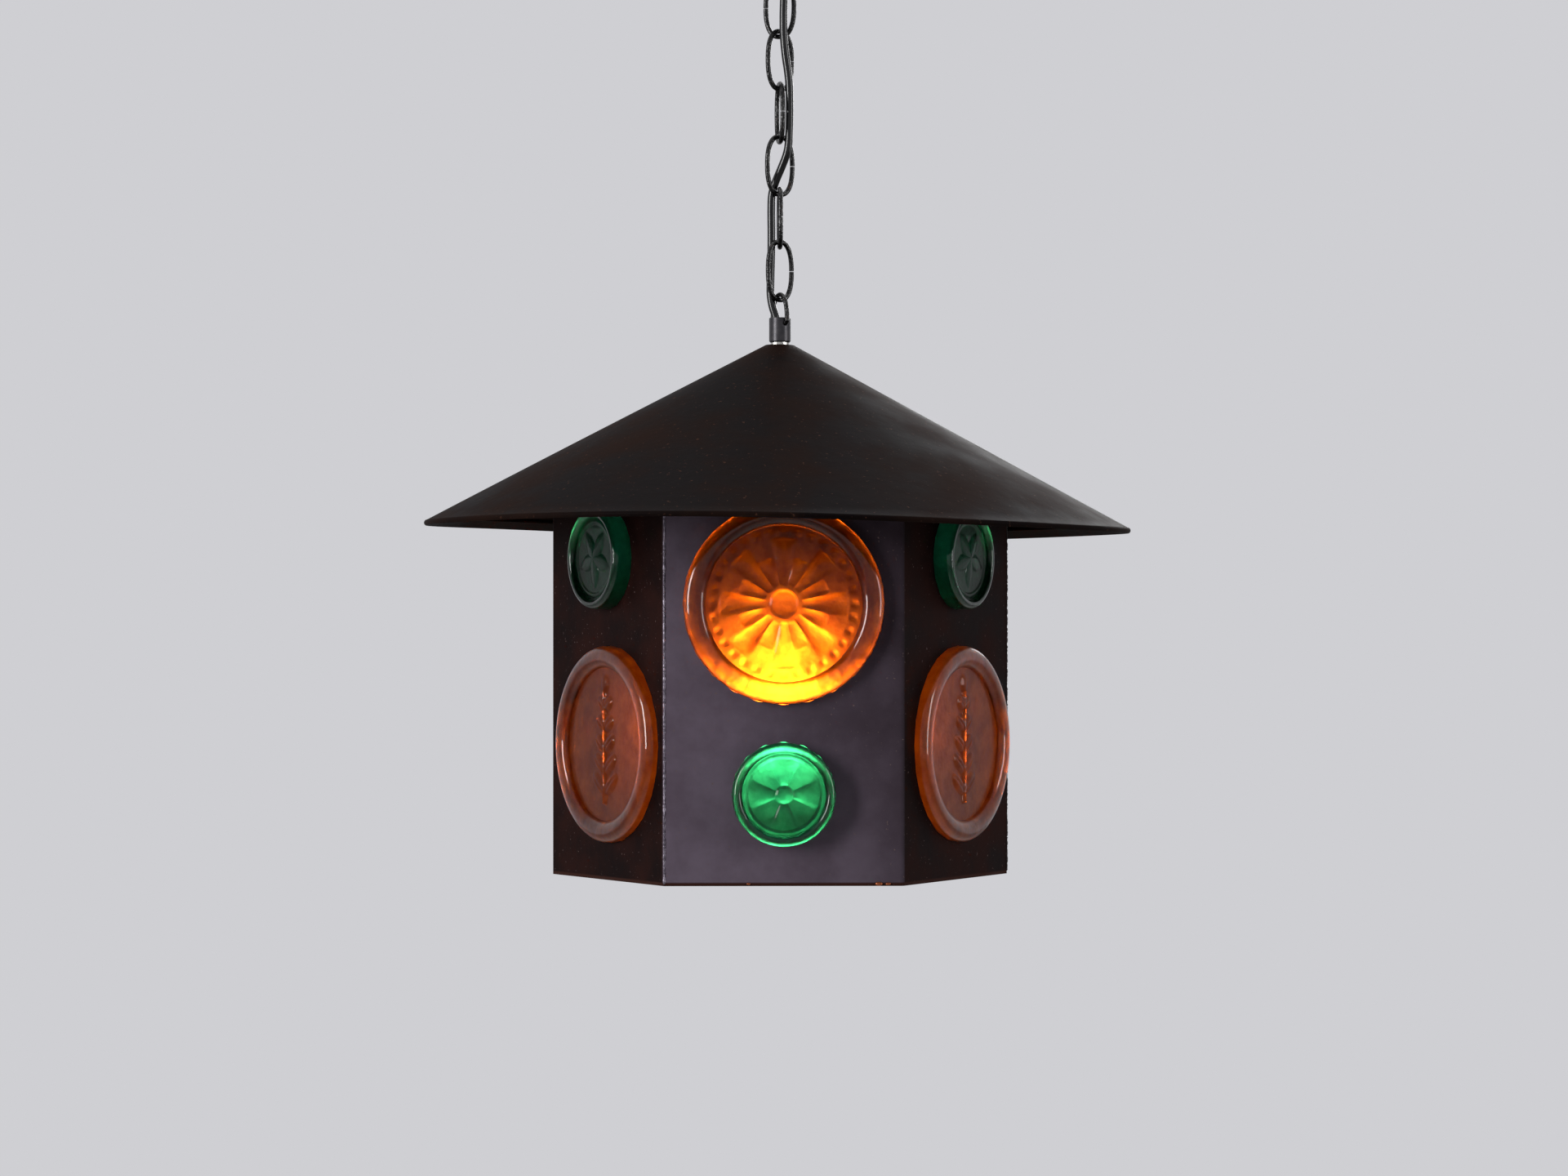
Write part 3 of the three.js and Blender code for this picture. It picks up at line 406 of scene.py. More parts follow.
opening = math.degrees(link_split / 2 / link_half_span)
for number, azimuth in enumerate(link_azimuths, 1):
    middle = first_link_top - (number - 1) * link_pitch - link_half_span
    oval = [squared_oval(link_half_width, link_half_span, link_squareness, a)
            for a in np.linspace(opening, 360 - opening, link_knots)]
    joint_side = 180 if number % 2 else 0
    link_path = upright([(w, middle + h) for w, h in oval], azimuth + joint_side)
    link = round_stock(f"oval_link_{number}", smooth_path(link_path, steps=3), link_wire, wire_steel)
    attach(link, f"link_{number}")
    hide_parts(f"chain_link_{number}")

# Half the bail, from its turned-in end through the elbow and up the arch
elbow_top = cross_hole + bail_elbow
bail_half = [(bail_end, cross_hole), (bail_leg - 1.2 * bail_elbow, cross_hole)]
bail_half += arc((bail_leg - bail_elbow, elbow_top), bail_elbow, bail_elbow, -80, 0, steps=4)
for degrees in (22.5, 45, 67.5):
    width, height = squared_oval(bail_leg, bail_top - elbow_top, bail_squareness, degrees)
    bail_half.append((width, elbow_top + height))
bail_shape = bail_half + [(0, bail_top)] + [(-w, h) for w, h in reversed(bail_half)]
bail = round_stock("wire_bail", smooth_path(upright(bail_shape, bail_azimuth)), bail_wire, wire_steel)
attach(bail, "bail")
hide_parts("suspension_bail")

# Hanger sleeve, washer, tube and nuts: the sleeve is turned from steel bar, darkened and satin, with a
# cross hole for the bail. Washer, tube and nuts are stock parts, zinc plated, so bright and faintly grey.
sleeve_radius = 6.8 * mm
sleeve_bore = 5.3 * mm  # radius
sleeve_top = -281.3 * mm
sleeve_bottom = -296.7 * mm
sleeve_chamfer = 0.7 * mm
cross_hole_radius = 1.75 * mm
drill_reach = 1.5 * sleeve_radius  # to both sides, so the drill goes right through

# Turned steel keeps a satin grain under its dark finish. Zinc plate is brighter, with duller clouds
satin_steel = clouded_material(
    "darkened_turned_steel", "#333235", "#403e40", size=3 * mm, low=0.3, high=0.8,
    Metallic=0.6, Specular_IOR_Level=0.25, Roughness=0.36)
zinc = clouded_material(
    "zinc_plated_steel", "#c2c1bd", "#98968f", size=4 * mm, low=0.35, high=0.75, Metallic=1.0, Roughness=0.3)

sleeve = turned("turned_sleeve", [
    (sleeve_bore, sleeve_bottom), (sleeve_radius - sleeve_chamfer, sleeve_bottom),
    (sleeve_radius, sleeve_bottom + sleeve_chamfer), (sleeve_radius, sleeve_top - sleeve_chamfer / 2),
    (sleeve_radius - sleeve_chamfer / 2, sleeve_top), (sleeve_bore, sleeve_top),
], satin_steel, sharp_angle=25)
drill_path = upright([(-drill_reach, cross_hole), (drill_reach, cross_hole)], bail_azimuth)
drill = round_stock("cross_drill", np.array(drill_path), 2 * cross_hole_radius, satin_steel, sides=32)
drilled = sleeve.modifiers.new("drilled", "BOOLEAN")
drilled.object = drill
drilled.solver = "EXACT"
sleeve_mesh = bpy.data.meshes.new_from_object(
    sleeve.evaluated_get(bpy.context.evaluated_depsgraph_get()))
bpy.data.objects.remove(sleeve)
bpy.data.objects.remove(drill)
sleeve = finish_mesh("turned_sleeve", sleeve_mesh, sharp_angle=25)
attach(sleeve, "lantern")
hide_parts("hanger_sleeve")
dress(["apex_washer", "threaded_tube", "roof_nut", "strap_nut_upper", "strap_nut_lower"], zinc)

# Roof: one sheet of iron cut and rolled to a cone, its edge folded under by hand, so it waves a little and
# hangs slightly lower on the right. Its patina is brown-black, thicker and browner in clouds.
roof_radius = 221.5 * mm
roof_flat = 9 * mm  # radius of the flat at the apex
roof_height = 113.4 * mm
roof_sheet = 1 * mm
roof_top = -298.5 * mm
roof_bore = 5.3 * mm  # radius
hem_width = 11 * mm
hem_thick = 3.2 * mm
rim_wave = 1.2 * mm
rim_waves = 3
rim_phase = 35  # degrees
roof_lean = 0.8  # degrees, down on the right
rings_out = 30  # rows of points on the cone

# Patinated sheet iron: blackened, waxed, and weathered to browns, so nearly matt, with fine pale specks.
# The specks are drawn at 2.5 mm, coarser than real ones, so that they show
patina, patina_tree, patina_shader, patina_place = start_material(
    "patinated_roof_sheet", Specular_IOR_Level=0.012)
clouds = mottle(patina_tree, patina_place, 70 * mm, low=0.35, high=0.7, detail=6)
specks = mottle(patina_tree, patina_place, 2.5 * mm, low=0.66, high=0.74, detail=2)
roof_colour = "#0b0707"
for share, over in ((clouds, "#1c110d"), (specks, "#3a261d")):
    roof_colour = add_node(patina_tree, "ShaderNodeMix", {
        0: share, 6: roof_colour, 7: over,
    }, data_type="RGBA")[2]
roof_rough = add_node(patina_tree, "ShaderNodeMapRange", {
    "Value": clouds, "To Min": 0.5, "To Max": 0.68,
})["Result"]
set_inputs(patina_tree, patina_shader, {"Base Color": roof_colour, "Roughness": roof_rough})
raise_surface(
    patina_tree, patina_shader, patina_place, size=9 * mm, depth=0.5 * mm, strength=0.35, detail=5)

# A point's lift is the wave's height, times the cube of its way out to the rim, times the sine of its
# angle's waves, so the cone stays straight near its apex
wave_tree, wave_in = tree_with_inputs("hand_formed_rim", {
    "Rim Radius": "Float", "Wave Height": "Float", "Waves": "Float", "Phase": "Float", "Material": "Material",
})
spot = add_node(wave_tree, "GeometryNodeInputPosition")["Position"]
axes = add_node(wave_tree, "ShaderNodeSeparateXYZ", {"Vector": spot})
level = add_node(wave_tree, "ShaderNodeCombineXYZ", {"X": axes["X"], "Y": axes["Y"]})["Vector"]
way_out = add_node(wave_tree, "ShaderNodeVectorMath", {0: level}, operation="LENGTH")["Value"]
part_out = add_node(wave_tree, "ShaderNodeMath", {
    0: way_out, 1: wave_in["Rim Radius"],
}, operation="DIVIDE")[0]
cubed = add_node(wave_tree, "ShaderNodeMath", {0: part_out, 1: 3.0}, operation="POWER")[0]
angle = add_node(wave_tree, "ShaderNodeMath", {0: axes["Y"], 1: axes["X"]}, operation="ARCTAN2")[0]
waves = add_node(wave_tree, "ShaderNodeMath", {0: angle, 1: wave_in["Waves"]}, operation="MULTIPLY")[0]
shifted = add_node(wave_tree, "ShaderNodeMath", {0: waves, 1: wave_in["Phase"]}, operation="ADD")[0]
swing = add_node(wave_tree, "ShaderNodeMath", {0: shifted}, operation="SINE")[0]
share = add_node(wave_tree, "ShaderNodeMath", {0: cubed, 1: swing}, operation="MULTIPLY")[0]
lift = add_node(wave_tree, "ShaderNodeMath", {0: share, 1: wave_in["Wave Height"]}, operation="MULTIPLY")[0]
offset = add_node(wave_tree, "ShaderNodeCombineXYZ", {"Z": lift})["Vector"]
waved = add_node(wave_tree, "GeometryNodeSetPosition", {"Geometry": wave_in["Geometry"], "Offset": offset})
finish_tree(wave_tree, waved["Geometry"], wave_in["Material"])

slope = roof_height / (roof_radius - roof_flat)
skin = roof_sheet * math.hypot(1, slope)  # sheet thickness measured straight down
low_skin = hem_thick * math.hypot(1, slope) - skin  # down to the folded edge's upper face
hem_start = roof_radius - hem_width
fold_start = roof_radius - hem_thick / 2
fold_height = (low_skin + skin) / 2


def roof_drop(radius, below=0.0):
    """A point of the roof's section at a radius, and how far it is below the top face."""
    return (radius, -max(0, radius - roof_flat) * slope - below)


steps_out = np.linspace(roof_flat, fold_start, rings_out)
fold = arc(roof_drop(fold_start, fold_height), roof_radius - fold_start, fold_height, -90, 90, steps=8)
roof_section = [(roof_bore, -roof_sheet)]
roof_section += [roof_drop(r, skin) for r in steps_out]
roof_section += [roof_drop(fold_start, low_skin), roof_drop(hem_start, low_skin)]
roof_section += [roof_drop(hem_start, low_skin + skin)] + fold[1:-1]
roof_section += [roof_drop(r) for r in reversed(steps_out)] + [(roof_bore, 0)]
cone = turned("roof_cone", roof_section, patina, segments=192)
roof = grown("rolled_roof", cone, wave_tree, {
    "Rim Radius": roof_radius, "Wave Height": rim_wave, "Waves": float(rim_waves),
    "Phase": math.radians(rim_phase), "Material": patina,
}, sharp_angle=35)
roof.data.transform(Matrix.Translation((0, 0, roof_top)) @ Matrix.Rotation(math.radians(roof_lean), 4, "Y"))
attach(roof, "lantern")
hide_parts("roof")

# Body walls: three sheets of 1.2 mm iron, each folded once, holed for the glass and patinated. The front is
# painted a paler grey violet as a lit face, and the flanks and back brown-black as painted shade: lit and
# shaded copies of one patina. The handled lower edge is brown.
apothem = 123.84 * mm
wall_top = -378.9 * mm
wall_bottom = -630.9 * mm
side_length = 143 * mm
wall_sheet = 1.2 * mm

# Patinated sheet iron, waxed outside: nearly matt, in soft clouds, with specks that are drawn at 1.8 mm,
# coarser than real ones, so that they show
wall, wall_tree, wall_shader, wall_place = start_material("patinated_wall_sheet_painted_light", Specular_IOR_Level=0.02)
wall_axes = add_node(wall_tree, "ShaderNodeSeparateXYZ", {"Vector": wall_place})
wall_clouds = mottle(wall_tree, wall_place, 45 * mm, low=0.3, high=0.72, detail=6)
# Lit and shaded copies of one patina: the front's two colours carry painted light, and the flank colour, on
# flanks and back alike, carries painted shade. All keep the patina's own clouds. The inside colour is the
# iron's own
front_painted_sheen, front_painted_shade, flank_painted_shade, inner_face = (
    add_node(wall_tree, "ShaderNodeMix", {0: wall_clouds, 6: first, 7: second}, data_type="RGBA")[2]
    for first, second in (
        ("#4d434d", "#5f5561"), ("#261e23", "#352c33"), ("#0d0606", "#23110e"), ("#2c241f", "#453830"),
    )
)
# The front is painted paler towards its soldered left corner, a painted sheen, and darker high up on the
# right, a painted shadow under the roof. Its painted lit colour ends just round its two corners
towards_painted_shade = add_node(wall_tree, "ShaderNodeVectorMath", {
    0: wall_place, 1: (1, 0, 0.35),
}, operation="DOT_PRODUCT")["Value"]
painted_shade_share = add_node(wall_tree, "ShaderNodeMapRange", {
    "Value": towards_painted_shade, "From Min": -260 * mm, "From Max": -60 * mm,
}, interpolation_type="SMOOTHSTEP")["Result"]
front = add_node(wall_tree, "ShaderNodeMix", {
    0: painted_shade_share, 6: front_painted_sheen, 7: front_painted_shade,
}, data_type="RGBA")[2]
on_front = add_node(wall_tree, "ShaderNodeMapRange", {
    "Value": wall_axes["Y"], "From Min": 2.2 * mm - apothem, "From Max": 0.4 * mm - apothem,
})["Result"]
# Inside, the iron is paler: it was never waxed. How far a point is from the axis along its own face's
# normal tells inside from outside on all six faces
face_turn = math.radians(60)
azimuth = add_node(wall_tree, "ShaderNodeMath", {
    0: wall_axes["Y"], 1: wall_axes["X"],
}, operation="ARCTAN2")[0]
in_faces = add_node(wall_tree, "ShaderNodeMath", {0: azimuth, 1: face_turn}, operation="DIVIDE")[0]
in_face = add_node(wall_tree, "ShaderNodeMath", {0: in_faces}, operation="FRACT")[0]
off_middle = add_node(wall_tree, "ShaderNodeMath", {0: in_face, 1: 0.5}, operation="SUBTRACT")[0]
off_angle = add_node(wall_tree, "ShaderNodeMath", {0: off_middle, 1: face_turn}, operation="MULTIPLY")[0]
towards_normal = add_node(wall_tree, "ShaderNodeMath", {0: off_angle}, operation="COSINE")[0]
wall_level = add_node(wall_tree, "ShaderNodeVectorMath", {0: wall_place, 1: (1, 1, 0)}, operation="MULTIPLY")
from_axis = add_node(wall_tree, "ShaderNodeVectorMath", {0: wall_level[0]}, operation="LENGTH")["Value"]
along_normal = add_node(wall_tree, "ShaderNodeMath", {
    0: towards_normal, 1: from_axis,
}, operation="MULTIPLY")[0]
inside = add_node(wall_tree, "ShaderNodeMapRange", {
    "Value": along_normal, "From Min": apothem - 0.5 * wall_sheet, "From Max": apothem - 0.8 * wall_sheet,
})["Result"]
wall_specks = mottle(wall_tree, wall_place, 1.8 * mm, low=0.68, high=0.76, detail=2)
at_lower_edge = add_node(wall_tree, "ShaderNodeMapRange", {
    "Value": wall_axes["Z"], "From Min": wall_bottom + 2.4 * mm, "From Max": wall_bottom + 1.6 * mm,
})["Result"]
# Each finish lies over those before it, where its share is 1
wall_colour = flank_painted_shade
for share, over in (
    (on_front, front), (inside, inner_face), (wall_specks, "#5c4d4b"), (at_lower_edge, "#2e1a15"),
):
    wall_colour = add_node(wall_tree, "ShaderNodeMix", {
        0: share, 6: wall_colour, 7: over,
    }, data_type="RGBA")[2]
wall_rough = add_node(wall_tree, "ShaderNodeMapRange", {
    "Value": wall_clouds, "To Min": 0.45, "To Max": 0.62,
})["Result"]
set_inputs(wall_tree, wall_shader, {"Base Color": wall_colour, "Roughness": wall_rough})
raise_surface(wall_tree, wall_shader, wall_place, size=7 * mm, depth=0.4 * mm, strength=0.3, detail=5)
dress([f"wall_sheet_{n}" for n in (1, 2, 3)], wall)

# Solder: the three butt corners are run up inside, and beads of tin show through outside. Copper-brown
# drops hang at the front's lower edge, where the corners were heated.
bead_size = 0.9 * mm
bead_spacing = 1.1 * mm
seam_margin = 2.6 * mm  # clear of the walls' upper and lower edges
seam_inset = 0.2 * mm  # how far the beads' middles lie inside the sharp corner
drops_along_front = ((57, 1.5), (62.5, 1.1), (-21, 0.8))  # place and radius, mm
drop_proud = 0.3 * mm
drop_height = 1.3 * mm  # above the walls' lower edge
drop_shape = (1.5, 0.7, 0.8)  # wide, deep and high against its radius

# Tin solder: soft grey and dull. On the seam at the front's left corner it is painted brighter, a painted
# highlight where light catches that corner. Copper: warm and satin, with darker tarnish
solder_painted_highlight = clouded_material(
    "tin_solder", "#4d4650", "#8f8793", size=5 * mm, low=0.35, high=0.7, Metallic=0.7, Roughness=0.45)
dark_solder = clouded_material(
    "patinated_tin_solder", "#17110f", "#2b2322", size=5 * mm, low=0.35, high=0.7, Metallic=0.7,
    Roughness=0.45)
copper = clouded_material(
    "copper_drop", "#8a4a2c", "#5f3423", size=1.2 * mm, low=0.45, high=0.7, Metallic=0.8, Roughness=0.4)
dress([f"seam_solder_{n}" for n in (1, 2, 3)], dark_solder)

bead_tree, bead_in = tree_with_inputs("solder_beads_up_a_seam", {
    "Spacing": "Float", "Bead Size": "Float", "Seed": "Int", "Material": "Material",
})
bead_line = add_node(bead_tree, "GeometryNodeCurveToPoints", {
    "Curve": bead_in["Geometry"], "Length": bead_in["Spacing"],
}, mode="LENGTH")["Points"]
bead = add_node(bead_tree, "GeometryNodeMeshIcoSphere", {
    "Radius": bead_in["Bead Size"], "Subdivisions": 2,
})["Mesh"]
bead_scale = add_node(bead_tree, "FunctionNodeRandomValue", {
    "Min": (0.4, 0.4, 0.6), "Max": (1.0, 1.0, 2.6), "Seed": bead_in["Seed"],
}, data_type="FLOAT_VECTOR")["Value"]
beads = add_node(bead_tree, "GeometryNodeInstanceOnPoints", {
    "Points": bead_line, "Instance": bead, "Scale": bead_scale,
})["Instances"]
finish_tree(bead_tree, beads, bead_in["Material"])

out = side_length - seam_inset  # a six-sided body's corners are as far out as its sides are long
for number, corner_azimuth in enumerate((-120, 0, 120), 1):
    seam_path = upright([(out, wall_bottom + seam_margin), (out, wall_top - seam_margin)], corner_azimuth)
    run = grown(f"solder_beads_{number}", line_through(seam_path), bead_tree, {
        "Spacing": bead_spacing, "Bead Size": bead_size, "Seed": number,
        # The first seam, at the front's left corner, gets the painted highlight
        "Material": solder_painted_highlight if number == 1 else dark_solder,
    }, sharp_angle=80)
    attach(run, "lantern")

drop_mesh = bpy.data.meshes.new("copper_drops")
drops = bmesh.new()
for along, size in drops_along_front:
    place = Matrix.Translation((along * mm, -apothem - drop_proud, wall_bottom + drop_height))
    bmesh.ops.create_icosphere(
        drops, subdivisions=3, radius=size * mm, matrix=place @ Matrix.Diagonal((*drop_shape, 1)))
drops.to_mesh(drop_mesh)
drops.free()
drop_mesh.materials.append(copper)
copper_drops = finish_mesh("copper_drops", drop_mesh, sharp_angle=80)
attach(copper_drops, "lantern")

# Bridge strap and rivets: a flat bar across the body's top, turned down at both ends and riveted to the
# walls. It carries the body on the tube, between two nuts. Black bar, left as it came.
dress(["bridge_strap", "strap_rivet_front", "strap_rivet_back"], sheet_steel)

# Lampholder and bulb: a phenolic resin holder with a porcelain insert and a brass threaded shell, screwed
# on the tube's end, and a frosted bulb of warm white light, which is lit as in the photograph.
bulb_brightness = 78

# Phenolic resin: moulded, glossy and brown-black, with swirls of brown filler. Brass: drawn thin, bright,
# with duller clouds. Bulb glass: etched inside, so that it glows evenly
phenolic = clouded_material(
    "moulded_phenolic_resin", "#1d1512", "#2e1b12", size=4 * mm, low=0.4, high=0.7, Roughness=0.3, IOR=1.55)
brass = clouded_material(
    "drawn_brass", "#b3924f", "#87693a", size=6 * mm, low=0.4, high=0.75, Metallic=1.0, Roughness=0.3)
frosted = clouded_material(
    "frosted_bulb_glass", "#fff3df", "#f0e2ca", size=8 * mm, low=0.4, high=0.7, Roughness=0.5,
    Emission_Color="#ffdca8", Emission_Strength=bulb_brightness)
dress(["holder_cap", "holder_ring"], phenolic)
dress(["holder_insert"], porcelain)
dress(["holder_shell", "centre_contact", "bulb_cap"], brass)
dress(["bulb_glass"], frosted)

# Glass discs: thick cast glass, pressed in a mould, with a rolled rim and a sunken field with raised
# ornament. Amber ones fill a face's width, and small green ones stand proud above or below them. Clips
# inside the walls hold them.
glass_gap = 0.4 * mm  # between disc and wall
flange = 3.2 * mm  # how far the disc's back overlaps the wall inside
flange_front = -1.5 * mm  # depths are from the wall's outer face
glass_back = -5 * mm
back_rings = (0.35, 0.8, 1.0)  # rows of points on the flat back, as shares of its radius
rim_steps = 24  # over the rolled rim


def hump(value, middle, half_width):
    """A round ridge across a value, 1 at its middle and 0 beyond its half width."""
    return np.sqrt(np.clip(1 - ((value - middle) / half_width) ** 2, 0, None))


# The ornaments are heights in mm above the field, at a radius in mm and an angle
def sunburst(r, a):
    """Eight long and eight short rays round a boss, inside a ring of 32 beads."""
    long_rays = np.clip(np.cos(8 * a), 0, None) ** 0.6 * hump(r, middle=25, half_width=14)
    short_rays = np.clip(-np.cos(8 * a), 0, None) ** 0.8 * hump(r, middle=20, half_width=8) * 0.7
    ring_of_beads = np.clip(np.cos(32 * a), 0, None) * hump(r, middle=42.5, half_width=2.2)
    boss = hump(r, middle=0, half_width=8.5)
    return 1.8 * (long_rays + short_rays) + 1.2 * ring_of_beads + 2.2 * boss


def leaf_sprig(r, a):
    """Five pairs of leaves on an upright stem, with a bud on top."""
    stem_half_width, stem_reach, bud_height = 1.4, 36, 37
    lowest_foot, row_spacing, leaf_lean, leaf_half_width = -30, 13, math.radians(52), 4.2
    lowest_leaf, shorter_each_row = 19, 2.2
    x, y = r * np.cos(a), r * np.sin(a)
    relief = hump(x, middle=0, half_width=stem_half_width) * (abs(y) < stem_reach)
    for row in range(5):
        foot = lowest_foot + row * row_spacing
        half_length = (lowest_leaf - shorter_each_row * row) / 2
        for side in (-1, 1):
            turn = math.radians(90) - side * leaf_lean
            along = (x * math.cos(turn) + (y - foot) * math.sin(turn)) - half_length
            across = -x * math.sin(turn) + (y - foot) * math.cos(turn)
            leaf = np.sqrt(np.clip(1 - (along / half_length) ** 2 - (across / leaf_half_width) ** 2, 0, None))
            vein = 0.35 * hump(across, middle=0, half_width=0.8)
            relief = np.maximum(relief, leaf * (1 - vein))
    bud = np.sqrt(np.clip(1 - (x / 4) ** 2 - ((y - bud_height) / 6) ** 2, 0, None))
    return 2.0 * np.maximum(relief, bud)


def petals_round_a_boss(r, a):
    """A flat flower with a boss in its middle, inside a fine ring."""
    petals = np.clip(np.cos(4 * a), 0, None) ** 0.5 * hump(r, middle=14, half_width=8.5)
    boss = hump(r, middle=0, half_width=5)
    return 1.5 * petals + 1.8 * boss + 0.7 * hump(r, middle=23, half_width=1.2)


def five_point_star(r, a):
    """A ridged star inside a fine ring."""
    waist, point = 8, 19
    towards_a_point = abs((a * 5 / (2 * math.pi) + 0.25) % 1 - 0.5) * 2
    edge = waist + (point - waist) * towards_a_point
    return 1.7 * np.clip(1 - r / edge, 0, None) ** 0.6 + 0.7 * hump(r, middle=22.5, half_width=1.3)


def cast_glass(name, deep, bright, sheen):
    """Cast glass: coloured through, cloudy where it was pressed, and clear and glossy in its rolled rim."""
    glass, tree, shader, place = start_material(
        name, IOR=1.45, Specular_IOR_Level=0.1, Specular_Tint=sheen,
        Transmission_Weight=1.0, Coat_Roughness=0.03)
    cloudy = mottle(tree, place, 14 * mm, low=0.32, high=0.7)
    colour = add_node(tree, "ShaderNodeMix", {0: cloudy, 6: deep, 7: bright}, data_type="RGBA")[2]
    in_rim = add_node(tree, "ShaderNodeAttribute", attribute_name="rim")["Fac"]
    rough = add_node(tree, "ShaderNodeMapRange", {"Value": in_rim, "To Min": 0.52, "To Max": 0.36})["Result"]
    coat = add_node(tree, "ShaderNodeMapRange", {"Value": in_rim, "To Min": 0.22, "To Max": 0.6})["Result"]
    set_inputs(tree, shader, {"Base Color": colour, "Roughness": rough, "Coat Weight": coat})
    raise_surface(tree, shader, place, size=7 * mm, depth=0.8 * mm, strength=0.7, detail=2)
    return glass


# Sizes in mm. A face holds one layout or the other: its disc's height above the body's bottom, how far the
# disc lies to the right of the face's middle, and its ornament
glass_kinds = {
    "amber": {
        "radius": 60.5, "proud": 8, "rim": 13.6, "dish": 5, "segments": 180, "field_rings": 60,
        "layouts": ((168.8, 0, sunburst), (83.25, 3.7, leaf_sprig)),
        "material": cast_glass("amber_cast_glass", "#7a3004", "#a8500a", "#a03c06"),
    },
    "green": {
        "radius": 31.4, "proud": 12, "rim": 6.4, "dish": 3.6, "segments": 120, "field_rings": 36,
        "layouts": ((54.9, 0, petals_round_a_boss), (197.0, 0, five_point_star)),
        "material": cast_glass("green_cast_glass", "#053b2a", "#0f583f", "#044824"),
    },
}


def cast_disc(name, kind, ornament):
    """A disc in its own plane, its front towards +Z: flanged back, rolled rim, and a field with ornament."""
    radius, proud, dish = (kind[size] * mm for size in ("radius", "proud", "dish"))
    segments = kind["segments"]
    edge = radius - glass_gap
    half_rim = (kind["rim"] * mm - glass_gap) / 2
    field = edge - 2 * half_rim
    field_front = proud - dish
    back_radius = radius + flange
    profile = [(share * back_radius, glass_back) for share in back_rings]
    profile += [(back_radius, flange_front), (edge, flange_front)]
    profile += arc((edge - half_rim, field_front), half_rim, dish, 0, 180, rim_steps)
    angles = np.linspace(0, 2 * math.pi, segments, endpoint=False)
    rings = [(r, np.full(segments, h)) for r, h in profile]
    for r in np.linspace(field, 0, kind["field_rings"] + 1)[1:-1]:
        rings.append((r, field_front + ornament(np.full(segments, r / mm), angles) * mm))
    corners = [(0, 0, glass_back)]
    for r, heights in rings:
        corners += [(r * math.cos(a), r * math.sin(a), h) for a, h in zip(angles, heights)]
    corners.append((0, 0, field_front + float(ornament(np.zeros(1), np.zeros(1))[0]) * mm))
    faces = []
    for s in range(segments):
        after = (s + 1) % segments
        faces.append((0, 1 + after, 1 + s))
        for ring in range(len(rings) - 1):
            low, high = 1 + ring * segments, 1 + (ring + 1) * segments
            faces.append((low + s, low + after, high + after, high + s))
        last = 1 + (len(rings) - 1) * segments
        faces.append((last + s, last + after, len(corners) - 1))
    mesh = bpy.data.meshes.new(name)
    mesh.from_pydata(corners, [], faces)
    mesh.materials.append(kind["material"])
    disc = finish_mesh(name, mesh, sharp_angle=50)
    # The glass material reads how far into the rim a point is, from 0 to 1 over the rim's first millimetre
    places = np.empty(3 * len(disc.data.vertices))
    disc.data.vertices.foreach_get("co", places)
    from_middle = np.hypot(places[0::3], places[1::3])
    into_rim = np.clip((from_middle - field) / (1 * mm), 0, 1)
    disc.data.attributes.new("rim", "FLOAT", "POINT").data.foreach_set("value", into_rim)
    return disc


for colour_name, kind in glass_kinds.items():
    for face in range(6):
        height, to_right, ornament = kind["layouts"][face % 2]
        disc = cast_disc(f"cast_{colour_name}_{face + 1}", kind, ornament)
        on_wall = Matrix.Translation((to_right * mm, -apothem, wall_bottom + height * mm))
        stood_up = on_wall @ Matrix.Rotation(math.radians(90), 4, "X")
        disc.data.transform(Matrix.Rotation(math.radians(60 * face), 4, "Z") @ stood_up)
        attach(disc, "lantern")
        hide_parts(f"{colour_name}_disc_{face + 1}")

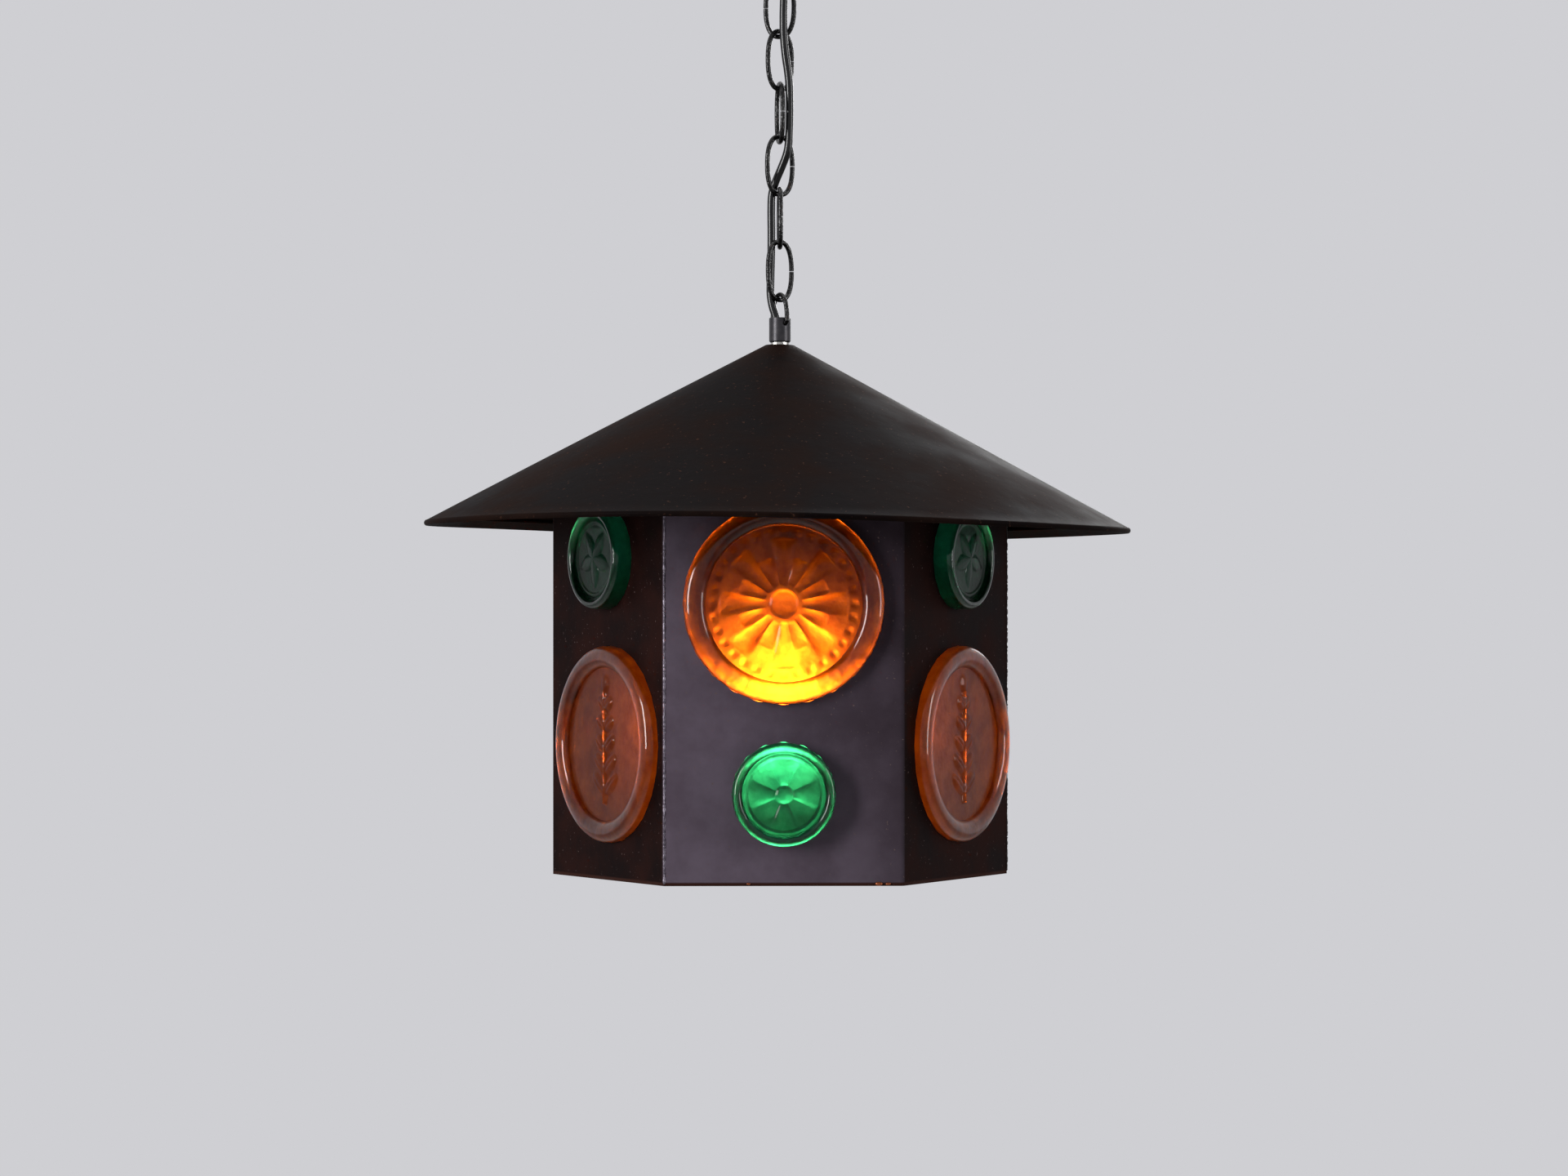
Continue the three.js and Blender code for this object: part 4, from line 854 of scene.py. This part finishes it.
# Studio: a plain pale floor well below the lantern, a pale background, and four soft lamps at a plain
# level, with the strongest from the front left as in the photograph.
floor_level = -2.4
floor_half = 7  # half the floor's side
floor_lift = 0.35  # brings the floor as seen nearer to the background
room_light = 0.25  # what the background adds to the lamps
lantern_middle = Vector((0, 0, -0.42))
lamps = {  # place, watts, width and height
    "key_lamp": ((-2.3, -1.6, 0.1), 76, 0.7, 1.6),
    "fill_lamp": ((2.5, -1.0, 0.0), 30, 0.6, 1.6),
    "back_lamp": ((0.8, 2.4, 0.6), 24, 1.2, 1.2),
    "top_lamp": ((0, 0.3, 1.9), 40, 2.4, 2.4),
}

# Floor: matt paint, pale and even
pale, pale_tree, pale_shader, _ = start_material(
    "matt_pale_floor", Base_Color="#e6e4e0", Roughness=0.8, Emission_Color="#dedee0")
seen_floor = add_node(pale_tree, "ShaderNodeLightPath")["Is Camera Ray"]
lifted = add_node(pale_tree, "ShaderNodeMath", {0: seen_floor, 1: floor_lift}, operation="MULTIPLY")[0]
set_inputs(pale_tree, pale_shader, {"Emission Strength": lifted})
floor_mesh = bpy.data.meshes.new("floor")
floor_mesh.from_pydata([(x * floor_half, y * floor_half, floor_level) for x, y in
                        ((-1, -1), (1, -1), (1, 1), (-1, 1))], [], [(0, 1, 2, 3)])
floor_mesh.materials.append(pale)
floor = bpy.data.objects.new("floor", floor_mesh)
bpy.context.collection.objects.link(floor)

world = bpy.data.worlds.new("studio")
bpy.context.scene.world = world
world.use_nodes = True
sky = world.node_tree
sky.nodes.clear()
rays = add_node(sky, "ShaderNodeLightPath")
seen = rays["Is Camera Ray"]
for ray in ("Is Glossy Ray", "Is Transmission Ray"):
    seen = add_node(sky, "ShaderNodeMath", {0: seen, 1: rays[ray]}, operation="MAXIMUM")[0]
room = add_node(sky, "ShaderNodeBackground", {"Color": "#dfe3ea", "Strength": room_light})
backdrop = add_node(sky, "ShaderNodeBackground", {"Color": "#cfcfd3", "Strength": 1})
mixed = add_node(sky, "ShaderNodeMixShader", {0: seen, 1: room[0], 2: backdrop[0]})
add_node(sky, "ShaderNodeOutputWorld", {"Surface": mixed[0]})

for lamp_name, (lamp_at, watts, width, height) in lamps.items():
    lamp_data = bpy.data.lights.new(lamp_name, "AREA")
    lamp_data.energy = watts
    lamp_data.shape = "RECTANGLE"
    lamp_data.size = width
    lamp_data.size_y = height
    lamp = bpy.data.objects.new(lamp_name, lamp_data)
    lamp.location = lamp_at
    lamp.rotation_euler = (lantern_middle - lamp.location).to_track_quat("-Z", "Y").to_euler()
    bpy.context.collection.objects.link(lamp)

bpy.context.scene.view_settings.view_transform = "Standard"
